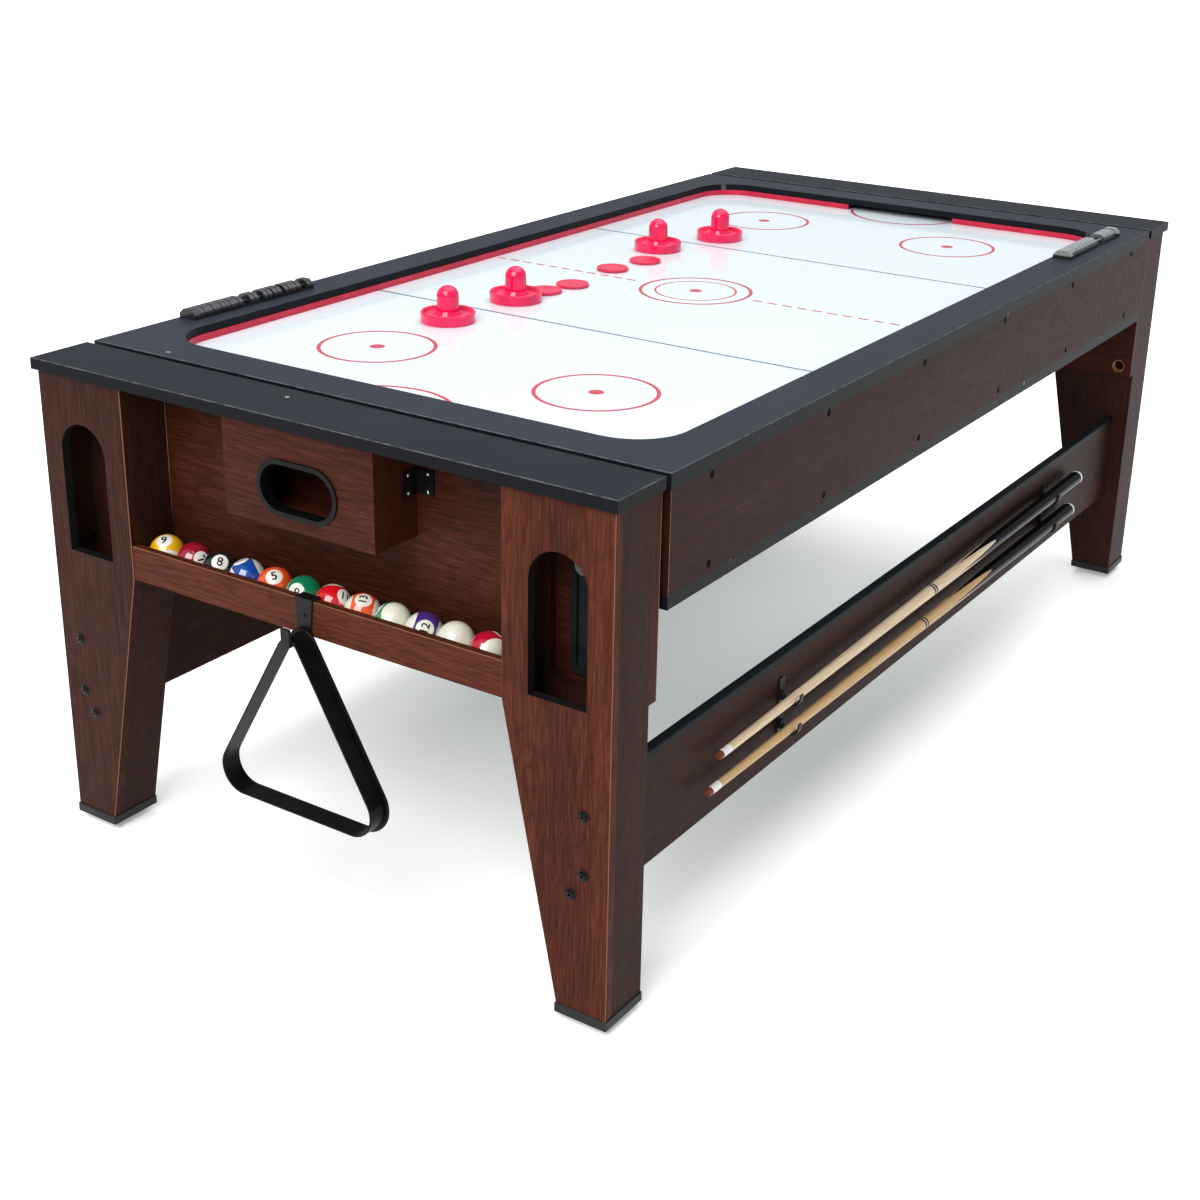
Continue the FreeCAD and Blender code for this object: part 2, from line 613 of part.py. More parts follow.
def pocket_spots():
    for x, y, radius in POCKETS:
        for side in (-1, 1):
            for end in ((-1, 1) if y else (1,)):
                yield side * x, end * y, radius


def pool_rail():
    slab = box(-CAB_X, CAB_X, -CAB_Y, CAB_Y, CAB_Z, CAB_Z + POOL_RAIL_T)
    slab = bevel(slab, 1.2, at_level(CAB_Z))
    inside = (CAB_X - BOARD, CAB_Y - BOARD)
    sub = box(-inside[0], inside[0], -inside[1], inside[1], CAB_Z + POOL_RAIL_T, CLOTH_Z)
    frame = slab.fuse(sub).cut(box(-POOL_X, POOL_X, -POOL_Y, POOL_Y, CAB_Z - 1, CLOTH_Z + 1))
    for x, y, radius in pocket_spots():
        frame = frame.cut(rod(radius, (x, y, CAB_Z - 1), (0, 0, 1), CLOTH_Z - CAB_Z + 2))
    return frame


def pool_bed():
    bed = box(-CAB_X + BOARD, CAB_X - BOARD, -CAB_Y + BOARD, CAB_Y - BOARD, CLOTH_Z, CLOTH_Z + 18.0)
    for x, y, radius in pocket_spots():
        bed = bed.cut(rod(radius, (x, y, CLOTH_Z - 1), (0, 0, 1), 20.0))
    return bed


def cushions():
    """Rubber rail noses in six lengths, hollowed where they meet the pockets."""
    def section(edge):
        return [(edge, CAB_Z + 0.6), (edge, CLOTH_Z - 3), (edge - CUSHION_W + 8, CLOTH_Z - 28),
                (edge - CUSHION_W, CLOTH_Z - 34), (edge - CUSHION_W + 3, CAB_Z + 1)]
    side = prism(section(POOL_X), "XZ", 0.0, POOL_Y - CUSHION_W)
    end = prism(section(POOL_Y), "YZ", -POOL_X + CUSHION_W, POOL_X - CUSHION_W)
    pieces = [side, mirrored(side), half_turn(side), mirrored(half_turn(side)), end, half_turn(end)]
    jaws = [rod(radius + 17, (x, y, CAB_Z - 1), (0, 0, 1), 60.0) for x, y, radius in pocket_spots()]
    shaped = []
    for piece in pieces:
        for jaw in jaws:
            piece = piece.cut(jaw)
        shaped.append(piece)
    return shaped


def pockets():
    cups = []
    for x, y, radius in pocket_spots():
        low, high, wall = CAB_Z + 12, CHAMBER_Z[0] - 8, 3.0
        cup = rod(radius - 0.2, (x, y, low), (0, 0, 1), high - low)
        cups.append(cup.cut(rod(radius - 0.2 - wall, (x, y, low - 1), (0, 0, 1), high - low + 1 - wall)))
    return cups


# ---- score keepers ------------------------------------------------------------------
SCORER_LENGTH = 298.0
SCORER_HALF = 19.0
SCORERS = {"left": (-533.0, -802.0), "right": (501.0, 600.0)}
SCORER_CAP = 15.0
BEAD = 20.0
BEAD_LIFT = 2.6
# beads in clusters, and the gap that follows each cluster
BEAD_CLUSTERS = {"left": [(3, 1.0), (2, 19.0), (1, 14.0), (1, 4.0), (1, 9.0), (2, 0.0)],
                 "right": [(7, 46.0), (3, 0.0)]}


def half_round(x, y, z, half, rise, length):
    """D-shaped bar along Y, flat side down."""
    flank = rise * 0.45
    profile = [(x - half, z), (x + half, z), (x + half, z + flank), (x + half * 0.5, z + rise),
               (x - half * 0.5, z + rise), (x - half, z + flank)]
    return prism(profile, "XZ", y, y + length, [0.0, 0.0, 6.0, 7.0, 7.0, 6.0])


def scorer_rack(x, y):
    base = box(x - SCORER_HALF, x + SCORER_HALF, y, y + SCORER_LENGTH, TOP, TOP + 2.0)
    ends = (y, y + SCORER_LENGTH - SCORER_CAP)
    caps = [half_round(x, start, TOP, SCORER_HALF, 17.0, SCORER_CAP) for start in ends]
    rods = [rod(2.0, (x + side, y + 2, TOP + 8.0), (0, 1, 0), SCORER_LENGTH - 4) for side in (-9.0, 9.0)]
    return base.fuse(caps + rods)


def scorer_beads(name):
    """Ribbed counters threaded on the two rods."""
    x, y = SCORERS[name]
    start = y + SCORER_CAP + 0.4
    beads = []
    for count, gap in BEAD_CLUSTERS[name]:
        for _ in range(count):
            bead = half_round(x, start, TOP + BEAD_LIFT, SCORER_HALF - 0.6, 14.6, BEAD)
            groove = box(x - 30, x + 30, start + BEAD / 2 - 1.2, start + BEAD / 2 + 1.2, TOP, TOP + 30)
            core = half_round(x, start + 1, TOP + BEAD_LIFT, SCORER_HALF - 2.0, 13.2, BEAD - 2)
            bead = bead.cut(groove).fuse(core)
            for offset in (-9.0, 9.0):
                bead = bead.cut(rod(2.0 + CLEAR, (x + offset, start - 1, TOP + 8.0), (0, 1, 0), BEAD + 2))
            beads.append(bead)
            start += BEAD + 0.4
        start += gap
    return beads


# ---- hockey play pieces -------------------------------------------------------------
REST = FIELD_Z + 0.1
PUSHERS = [(-232.0, -467.0), (-226.0, -272.0), (-251.0, 265.0), (-203.0, 439.0)]
PUCKS = [(-220.0, -185.0), (-208.0, -112.0), (-222.0, 49.0), (-209.0, 149.0)]


def pusher(x, y):
    """Round striker: dished base and a domed grip."""
    knob = 20.5
    profile = [(0, 2.0), (PUSHER_R - 8, 2.0), (PUSHER_R - 6, 0), (PUSHER_R - 1, 0), (PUSHER_R, 1.0),
               (PUSHER_R, 17.0), (PUSHER_R - 1.5, 19.0), (PUSHER_R - 4.0, 18.0), (PUSHER_R - 6.0, 13.0),
               (knob + 9.0, 11.0), (knob + 2.5, 13.0), (knob - 0.5, 20.0), (knob - 1.0, PUSHER_H - 18.0)]
    steps = 8
    for i in range(1, steps):
        angle = math.pi / 2 * i / steps
        profile.append(((knob - 1.0) * math.cos(angle), PUSHER_H - 18.0 + 18.0 * math.sin(angle)))
    profile.append((0, PUSHER_H))
    return turned(profile, (x, y, REST))


def puck(x, y):
    profile = [(0, 0), (PUCK_R - 1.2, 0), (PUCK_R, 1.2), (PUCK_R, PUCK_T - 1.2), (PUCK_R - 1.2, PUCK_T),
               (PUCK_R - 5, PUCK_T), (PUCK_R - 6, PUCK_T - 0.7), (0, PUCK_T - 0.7)]
    return turned(profile, (x, y, REST))


# ---- assembly -----------------------------------------------------------------------
def main():
    os.makedirs("parts", exist_ok=True)
    front, shell, cap = leg_front(), leg_shell(), foot_cap()
    write("leg_near_right_front", front)
    write("leg_near_left_front", mirrored(front))
    write("leg_far_left_front", half_turn(front))
    write("leg_far_right_front", half_turn(mirrored(front)))
    write("leg_near_right_shell", shell)
    write("leg_near_left_shell", mirrored(shell))
    write("leg_far_left_shell", half_turn(shell))
    write("leg_far_right_shell", half_turn(mirrored(shell)))
    write("foot_caps", group([cap, mirrored(cap), half_turn(cap), half_turn(mirrored(cap))]))
    write("leveller_near_right", leveller(FOOT_X, FOOT_Y))
    write("leveller_near_left", leveller(-FOOT_X, FOOT_Y))
    write("leveller_far_right", leveller(FOOT_X, -FOOT_Y))
    write("leveller_far_left", leveller(-FOOT_X, -FOOT_Y))

    for name, piece in (("end_panel", end_panel()), ("goal_box", goal_box())):
        write(name + "_near", piece)
        write(name + "_far", half_turn(piece))
    write("end_caps", group([end_cap(), half_turn(end_cap())]))
    write("stretchers", group([stretcher(), mirrored(stretcher())]))
    write("leg_bolts", group(leg_bolts()))
    write("goal_trims", group([goal_trim(), half_turn(goal_trim())]))
    brackets = [corner_bracket(), mirrored(corner_bracket())]
    write("corner_brackets", group(brackets + [half_turn(b) for b in brackets]))
    write("tray_front", tray_front())
    write("tray_floor", tray_floor())
    write("pool_balls", group(pool_balls()))
    write("triangle_rack", triangle_rack())
    write("rack_bracket", rack_bracket())

    write("cue_holders", group(cue_holder(y, lift) for y, lift in zip(HOLDER_Y, HOLDER_LIFT)))
    write("cue_upper", cue(0))
    write("cue_lower", cue(1))

    write("pivot_bearings", group([pivot_bearing(), half_turn(pivot_bearing())]))
    write("pivots", group([pivot(), half_turn(pivot())]))
    write("lock_housings", group([lock_housing(), half_turn(lock_housing())]))
    write("lock_pin_near", lock_pin())
    write("lock_pin_far", half_turn(lock_pin()))

    write("cabinet_sides", group(cabinet_sides()))
    write("cabinet_ends", group(cabinet_ends()))
    write("hockey_rail", hockey_rail())
    write("hockey_bed", hockey_bed())
    write("bumper_band", bumper_band())
    write("air_chamber", air_chamber())
    write("blower_housing", blower_housing())
    write("blower_fan", blower_fan())
    write("power_inlet", power_inlet())
    write("fan_switch", fan_switch())
    write("pool_rail", pool_rail())
    write("pool_bed", pool_bed())
    write("cushions", group(cushions()))
    write("pockets", group(pockets()))

    write("scorer_racks", group(scorer_rack(x, y) for x, y in SCORERS.values()))
    for name in SCORERS:
        write("scorer_beads_" + name, group(scorer_beads(name)))
    for i, spot in enumerate(PUSHERS):
        write("pusher_%d" % (i + 1), pusher(*spot))
    for i, spot in enumerate(PUCKS):
        write("puck_%d" % (i + 1), puck(*spot))


main()
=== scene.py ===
"""Looks for the flip-over games table: air hockey on top, pool underneath. Metres."""
import bmesh
import bpy
import math
from mathutils import Matrix, Vector


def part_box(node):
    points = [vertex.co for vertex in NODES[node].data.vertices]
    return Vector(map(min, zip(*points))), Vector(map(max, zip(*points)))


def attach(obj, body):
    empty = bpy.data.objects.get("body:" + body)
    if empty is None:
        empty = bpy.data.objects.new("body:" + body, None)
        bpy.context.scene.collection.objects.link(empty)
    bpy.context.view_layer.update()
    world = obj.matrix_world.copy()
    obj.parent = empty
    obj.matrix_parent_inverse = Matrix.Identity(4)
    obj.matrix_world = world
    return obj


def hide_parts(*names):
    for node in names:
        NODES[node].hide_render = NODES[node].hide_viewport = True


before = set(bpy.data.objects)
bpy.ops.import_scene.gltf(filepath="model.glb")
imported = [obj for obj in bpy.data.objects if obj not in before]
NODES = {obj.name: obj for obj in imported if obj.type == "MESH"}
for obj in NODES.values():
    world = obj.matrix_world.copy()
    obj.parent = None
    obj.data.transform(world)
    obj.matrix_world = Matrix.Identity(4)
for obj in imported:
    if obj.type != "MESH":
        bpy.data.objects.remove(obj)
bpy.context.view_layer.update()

RAIL_LOW, RAIL_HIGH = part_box("hockey_rail")
MID_Y = (RAIL_LOW.y + RAIL_HIGH.y) / 2
TOP_Z = RAIL_HIGH.z
FIELD_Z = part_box("hockey_bed")[1].z
BAND_LOW, BAND_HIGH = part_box("bumper_band")
FIELD_X = BAND_HIGH.x
FIELD_Y = (BAND_HIGH.y - BAND_LOW.y) / 2
TRAY_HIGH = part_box("tray_front")[1].z


# ---- node graphs ----------------------------------------------------------------------
class Graph:
    """A material's node tree, with short calls for the nodes used here."""

    def __init__(self, name, rough=0.5, coat=0.0, metallic=0.0, coat_rough=0.1, sheen=0.0, specular=0.5):
        self.material = bpy.data.materials.new(name)
        self.material.use_nodes = True
        self.tree = self.material.node_tree
        self.shader = self.tree.nodes["Principled BSDF"]
        for key, value in (("Roughness", rough), ("Coat Weight", coat), ("Metallic", metallic),
                           ("Coat Roughness", coat_rough), ("Sheen Weight", sheen),
                           ("Specular IOR Level", specular)):
            self.shader.inputs[key].default_value = value
        self.place = self.node("ShaderNodeTexCoord").outputs["Object"]

    def node(self, kind, **inputs):
        made = self.tree.nodes.new(kind)
        for key, value in inputs.items():
            self.feed(made.inputs[key.replace("_", " ")], value)
        return made

    def feed(self, socket, value):
        if isinstance(value, bpy.types.NodeSocket):
            self.tree.links.new(value, socket)
        else:
            socket.default_value = value

    def math(self, operation, *values, clamp=False):
        made = self.tree.nodes.new("ShaderNodeMath")
        made.operation = operation
        made.use_clamp = clamp
        for socket, value in zip(made.inputs, values):
            self.feed(socket, value)
        return made.outputs[0]

    def split(self, vector=None):
        made = self.node("ShaderNodeSeparateXYZ", Vector=vector or self.place)
        return made.outputs[0], made.outputs[1], made.outputs[2]

    def stretch(self, scale, vector=None):
        return self.node("ShaderNodeMapping", Vector=vector or self.place, Scale=scale).outputs[0]

    def noise(self, scale, detail=4.0, vector=None, rough=0.5, distortion=0.0):
        made = self.node("ShaderNodeTexNoise", Vector=vector or self.place, Scale=scale, Detail=detail,
                         Roughness=rough, Distortion=distortion)
        return made.outputs[0]

    def ramp(self, value, stops, smooth=False):
        made = self.node("ShaderNodeValToRGB", Fac=value)
        made.color_ramp.interpolation = "EASE" if smooth else "LINEAR"
        elements = made.color_ramp.elements
        while len(elements) < len(stops):
            elements.new(0.5)
        for element, (position, tone) in zip(elements, stops):
            element.position = position
            element.color = (tone, tone, tone, 1) if isinstance(tone, (int, float)) else (*tone, 1)
        return made.outputs[0]

    def mix(self, amount, first, second, mode="MIX"):
        made = self.tree.nodes.new("ShaderNodeMix")
        made.data_type = "RGBA"
        made.blend_type = mode
        self.feed(made.inputs[0], amount)
        for socket, value in ((made.inputs[6], first), (made.inputs[7], second)):
            self.feed(socket, (*value, 1) if isinstance(value, tuple) and len(value) == 3 else value)
        return made.outputs[2]

    def within(self, value, low, high):
        """1 where low < value < high, else 0."""
        above, below = self.math("GREATER_THAN", value, low), self.math("LESS_THAN", value, high)
        return self.math("MULTIPLY", above, below)

    def chamfer(self):
        """1 on faces that are square to no axis, such as the small bevels along a board."""
        normal = self.split(self.node("ShaderNodeNewGeometry").outputs["True Normal"])
        largest = self.math("MAXIMUM", self.math("ABSOLUTE", normal[0]),
                            self.math("MAXIMUM", self.math("ABSOLUTE", normal[1]),
                                      self.math("ABSOLUTE", normal[2])))
        return self.within(largest, 0.6, 0.8)

    def finish(self, colour, rough=None, height=None, strength=0.2, distance=0.0005):
        self.feed(self.shader.inputs["Base Color"], (*colour, 1) if isinstance(colour, tuple) else colour)
        if rough is not None:
            self.feed(self.shader.inputs["Roughness"], rough)
        if height is not None:
            bump = self.node("ShaderNodeBump", Height=height, Strength=strength, Distance=distance)
            self.feed(self.shader.inputs["Normal"], bump.outputs[0])
        return self.material


# ---- materials ------------------------------------------------------------------------
# Pale tone of the board edges: a painted highlight.
EDGE_HIGHLIGHT = (0.19, 0.085, 0.045)
ALONG = {"x": (0.055, 1.0, 1.0), "y": (1.0, 0.055, 1.0), "z": (1.0, 1.0, 0.055)}
FIGURE = {"x": (0.17, 1.0, 1.0), "y": (1.0, 0.17, 1.0), "z": (1.0, 1.0, 0.17)}
WOOD_GLOSS = 0.05       # specular level of the satin wood laminate


def laminate_colour(g, grain, dark, mid, light, seed=0.0):
    """Printed wood: clouded tone, long fibres, cathedral figure in patches and fine pores."""
    moved = g.node("ShaderNodeMapping", Vector=g.place, Location=(seed, seed * 0.7, seed * 1.3)).outputs[0]
    drawn = g.stretch(ALONG[grain], moved)
    arched = g.stretch(FIGURE[grain], moved)
    clouds = g.noise(9.0, 4.0, drawn, 0.55, 0.6)
    fibres = g.noise(300.0, 6.0, drawn, 0.72, 0.2)
    tone = g.math("ADD", g.math("MULTIPLY", clouds, 0.28), g.math("MULTIPLY", fibres, 0.72))
    colour = g.ramp(tone, [(0.34, dark), (0.50, mid), (0.66, light)])
    heart = g.noise(6.5, 2.0, arched, 0.45, 0.5)
    wobble = g.math("MULTIPLY", fibres, 1.6)
    waves = g.math("SINE", g.math("ADD", g.math("MULTIPLY", heart, 170.0), wobble))
    rings = g.ramp(waves, [(0.55, 0.0), (0.98, 1.0)])
    patches = g.ramp(g.noise(3.6, 2.0, arched), [(0.44, 0.03), (0.62, 0.34)])
    colour = g.mix(g.math("MULTIPLY", rings, patches), colour, dark)
    pores = g.noise(620.0, 3.0, drawn, 0.6)
    specks = g.ramp(pores, [(0.58, 0.0), (0.70, 0.6)])
    return g.mix(specks, colour, dark), g.math("ADD", fibres, pores)


def laminate(name, grain, dark, mid, light, seed=0.0, rough=0.46, edges=True):
    g = Graph(name, rough=rough, specular=WOOD_GLOSS)
    colour, relief = laminate_colour(g, grain, dark, mid, light, seed)
    # Bevels in the pale edge tone: a painted highlight.
    if edges:
        colour = g.mix(g.chamfer(), colour, EDGE_HIGHLIGHT)
    scuff = g.ramp(g.noise(60.0, 4.0), [(0.35, rough - 0.02), (0.7, rough + 0.04)])
    return g.finish(colour, scuff, relief, 0.12, 0.0003)


def black_laminate(name, tone=0.008, rough=0.44):
    """Black board facing with a fine leathery emboss; its upright faces darkened as painted shade, its edge
    bevels pale with wear and a painted highlight.
    """
    g = Graph(name, rough=rough, specular=0.07)
    grain = g.noise(900.0, 4.0, rough=0.6)
    cloud = g.noise(5.0, 3.0)
    dark = (tone, tone * 1.22, tone * 1.75)
    pale = (tone * 1.7, tone * 2.1, tone * 3.1)
    colour = g.ramp(g.math("ADD", g.math("MULTIPLY", grain, 0.7), g.math("MULTIPLY", cloud, 0.3)),
                    [(0.35, dark), (0.65, pale)])
    # Upright faces darkened towards black: painted shade.
    upward = g.split(g.node("ShaderNodeNewGeometry").outputs["True Normal"])[2]
    upright_shade = g.math("LESS_THAN", g.math("ABSOLUTE", upward), 0.5)
    colour = g.mix(g.math("MULTIPLY", upright_shade, 0.75), colour, (0.0015, 0.0015, 0.002))
    # Pale bevel line: partly wear, partly a painted highlight.
    worn = g.math("MULTIPLY", g.chamfer(), g.ramp(g.noise(60.0, 4.0), [(0.35, 0.2), (0.6, 0.8)]))
    colour = g.mix(worn, colour, (0.11, 0.115, 0.13))
    nicks = g.ramp(g.noise(26.0, 2.0), [(0.775, 0.0), (0.785, 0.8)])
    colour = g.mix(nicks, colour, (0.28, 0.24, 0.22))
    return g.finish(colour, g.ramp(grain, [(0.3, rough - 0.07), (0.7, rough + 0.08)]), grain, 0.25, 0.0002)


def plastic(name, colour, rough=0.35, coat=0.0, specks=420.0, relief=0.12, specular=0.28):
    """Moulded plastic: faint clouding, a fine texture and slightly uneven gloss."""
    g = Graph(name, rough=rough, coat=coat, coat_rough=0.06, specular=specular)
    cloud = g.noise(30.0, 4.0)
    fine = g.noise(specks, 3.0)
    shade = tuple(c * 0.82 for c in colour)
    lift = tuple(min(1.0, c * 1.12 + 0.002) for c in colour)
    tone = g.ramp(cloud, [(0.3, shade), (0.7, lift)])
    gloss = g.ramp(fine, [(0.3, max(0.03, rough - 0.05)), (0.7, rough + 0.07)])
    return g.finish(tone, gloss, fine, relief, 0.0001)


def metal(name, colour, rough=0.3, axis="x"):
    g = Graph(name, rough=rough, metallic=1.0)
    brushed = g.noise(700.0, 3.0, g.stretch(ALONG[axis]))
    tone = g.ramp(brushed, [(0.3, tuple(c * 0.75 for c in colour)), (0.7, colour)])
    return g.finish(tone, g.ramp(brushed, [(0.3, rough - 0.06), (0.7, rough + 0.1)]), brushed, 0.1, 0.0001)


def cloth(name, colour):
    g = Graph(name, rough=0.92, sheen=0.12)
    nap = g.noise(1600.0, 4.0)
    patch = g.noise(12.0, 3.0)
    mixed = g.math("ADD", g.math("MULTIPLY", nap, 0.6), g.math("MULTIPLY", patch, 0.4))
    tone = g.ramp(mixed, [(0.3, tuple(c * 0.6 for c in colour)), (0.7, tuple(c * 1.3 for c in colour))])
    return g.finish(tone, None, nap, 0.5, 0.0004)


def raw_board(name, colour):
    g = Graph(name, rough=0.85)
    chips = g.node("ShaderNodeTexVoronoi", Vector=g.place, Scale=420.0).outputs["Distance"]
    tone = g.ramp(g.math("ADD", chips, g.math("MULTIPLY", g.noise(60.0, 4.0), 0.4)),
                  [(0.2, tuple(c * 0.55 for c in colour)), (0.9, colour)])
    return g.finish(tone, None, chips, 0.5, 0.0006)


def playfield():
    g = Graph("playfield_gloss", rough=0.16, coat=0.15, coat_rough=0.05, specular=0.4)
    cloud = g.noise(3.0, 3.0)
    colour = g.ramp(cloud, [(0.3, (0.59, 0.665, 0.715)), (0.7, (0.62, 0.695, 0.735))])
    dust = g.ramp(g.noise(45.0, 5.0), [(0.4, 0.10), (0.75, 0.22)])
    return g.finish(colour, dust, g.noise(130.0, 2.0), 0.02, 0.0002)


def printed(name, colour):
    """Ink on the playing surface: slightly uneven cover under the same gloss."""
    g = Graph(name, rough=0.22)
    thin = tuple(c + (0.8 - c) * 0.08 for c in colour)
    return g.finish(g.ramp(g.noise(240.0, 4.0), [(0.35, colour), (0.75, thin)]))


CHERRY = {"dark": (0.018, 0.0052, 0.0030), "mid": (0.056, 0.0138, 0.0072), "light": (0.104, 0.0270, 0.0140)}
# The cherry laminate darkened: painted shade for the end panels and goal boxes under the cap.
CHERRY_IN_SHADE = {"dark": (0.013, 0.0040, 0.0024), "mid": (0.041, 0.0108, 0.0056), "light": (0.078, 0.0210, 0.0108)}
# The cherry laminate darkened further: painted shade.
CHERRY_IN_DEEP_SHADE = {"dark": (0.012, 0.0042, 0.0028), "mid": (0.030, 0.0105, 0.0068), "light": (0.056, 0.0195, 0.0125)}
WALNUT = {"dark": (0.014, 0.0052, 0.0034), "mid": (0.026, 0.0094, 0.0060), "light": (0.040, 0.0150, 0.0098)}


def leg_front_material(node, seed, tones):
    """Upright laminate with the window's lining painted black."""
    low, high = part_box(node)
    g = Graph(node + "_wood", rough=0.46, specular=WOOD_GLOSS)
    colour, relief = laminate_colour(g, "z", seed=seed, **tones)
    # Bevels in the pale edge tone: a painted highlight.
    colour = g.mix(g.chamfer(), colour, EDGE_HIGHLIGHT)
    x, _, z = g.split()
    facing = g.split(g.node("ShaderNodeNewGeometry").outputs["True Normal"])[1]
    lining = g.math("LESS_THAN", g.math("ABSOLUTE", facing), 0.5)
    inside = g.within(x, low.x + 0.020, high.x - 0.020)
    raised = g.within(z, high.z * 0.6, high.z - 0.010)
    painted = g.math("MULTIPLY", lining, g.math("MULTIPLY", inside, raised))
    colour = g.mix(painted, colour, (0.008, 0.008, 0.008))
    return g.finish(colour, g.ramp(g.noise(9.0, 4.0), [(0.35, 0.41), (0.7, 0.54)]), relief, 0.12, 0.0003)


def end_centre(node, y):
    """Middle of the cue's section at one of its ends."""
    ring = [v.co for v in NODES[node].data.vertices if abs(v.co.y - y) < 0.002]
    return sum((co.z for co in ring), 0.0) / len(ring)


def cue_material(node, pale, gold, splice_start, splice_end):
    """Tip, ferrule, maple shaft, joint rings, spliced black butt and white end ring, placed along Y."""
    low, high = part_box(node)
    tip_z, butt_z = end_centre(node, low.y), end_centre(node, high.y)
    length = high.y - low.y
    g = Graph(node + "_finish", rough=0.28, coat=0.04, coat_rough=0.04, specular=0.08)
    x, y, z = g.split()
    along = g.math("SUBTRACT", y, low.y)
    axis_z = g.math("ADD", tip_z, g.math("MULTIPLY", along, (butt_z - tip_z) / length))
    grain = g.noise(160.0, 5.0, g.stretch(ALONG["y"]), 0.6)
    maple = g.ramp(grain, [(0.3, gold), (0.65, pale)])
    turn = g.math("ARCTAN2", g.math("SUBTRACT", z, axis_z), g.math("SUBTRACT", x, (low.x + high.x) / 2))
    wave = g.math("ABSOLUTE", g.math("SINE", g.math("MULTIPLY", turn, 2.0)))
    splice = g.math("ADD", splice_start, g.math("MULTIPLY", wave, splice_end - splice_start))
    butt = g.math("GREATER_THAN", along, splice)
    colour = g.mix(butt, maple, (0.0015, 0.0018, 0.003))
    veneer = g.within(g.math("SUBTRACT", along, splice), -0.006, 0.0)
    colour = g.mix(veneer, colour, (0.02, 0.035, 0.09))
    joint = 0.78
    for start, end, tone in ((-0.01, 0.0095, (0.16, 0.045, 0.020)), (0.0095, 0.034, (0.72, 0.71, 0.69)),
                             (joint - 0.007, joint - 0.002, (0.005, 0.005, 0.005)),
                             (joint - 0.002, joint + 0.002, (0.45, 0.45, 0.42)),
                             (joint + 0.002, joint + 0.007, (0.005, 0.005, 0.005)),
                             (length - 0.013, length - 0.0006, (0.74, 0.75, 0.76)),
                             (length - 0.0006, length + 0.1, (0.010, 0.010, 0.011))):
        colour = g.mix(g.within(along, start, end), colour, tone)
    return g.finish(colour, g.ramp(g.noise(40.0, 3.0), [(0.3, 0.15), (0.7, 0.27)]), grain, 0.03, 0.0001)


def lock_pin_material(node):
    """Black moulded knob on a bright steel pin; the knob is the end away from the cabinet."""
    low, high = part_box(node)
    g = Graph(node + "_finish", rough=0.32)
    outward = g.math("ABSOLUTE", g.math("SUBTRACT", g.split()[1], MID_Y))
    reach = max(abs(low.y - MID_Y), abs(high.y - MID_Y))
    knob_length = 0.0165
    knob = g.math("GREATER_THAN", outward, reach - knob_length)
    brushed = g.noise(700.0, 3.0, g.stretch(ALONG["y"]))
    steel = g.ramp(brushed, [(0.3, (0.42, 0.42, 0.44)), (0.7, (0.60, 0.60, 0.62))])
    g.feed(g.shader.inputs["Metallic"], g.math("SUBTRACT", 1.0, knob))
    return g.finish(g.mix(knob, steel, (0.008, 0.008, 0.008)), None, g.noise(420.0, 3.0), 0.1, 0.0001)


HOLE_X = 0.520
HOLE_UP = 0.021
HOLE_RADIUS = 0.0133


def end_panel_material(node, seed):
    """Cherry laminate darkened as painted shade, along X; the board's core shows in its drilled corner holes.
    """
    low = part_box(node)[0]
    g = Graph(node + "_wood", rough=0.46, specular=WOOD_GLOSS)
    colour, relief = laminate_colour(g, "x", seed=seed, **CHERRY_IN_SHADE)
    x, _, z = g.split()
    across = g.math("SUBTRACT", g.math("ABSOLUTE", x), HOLE_X)
    upward = g.math("SUBTRACT", z, low.z + HOLE_UP)
    squares = g.math("MULTIPLY", across, across), g.math("MULTIPLY", upward, upward)
    reach = g.math("SQRT", g.math("ADD", *squares))
    colour = g.mix(g.math("LESS_THAN", reach, HOLE_RADIUS), colour, (0.42, 0.21, 0.11))
    return g.finish(colour, None, relief, 0.12, 0.0003)


def paint(names, material):
    for name in names:
        node = NODES[name]
        if not node.data.materials:
            node.data.materials.append(material)
        for i in range(len(node.material_slots)):
            node.material_slots[i].link = "OBJECT"
            node.material_slots[i].material = material


def named(*starts):
    return [n for n in sorted(NODES) if n.startswith(starts)]


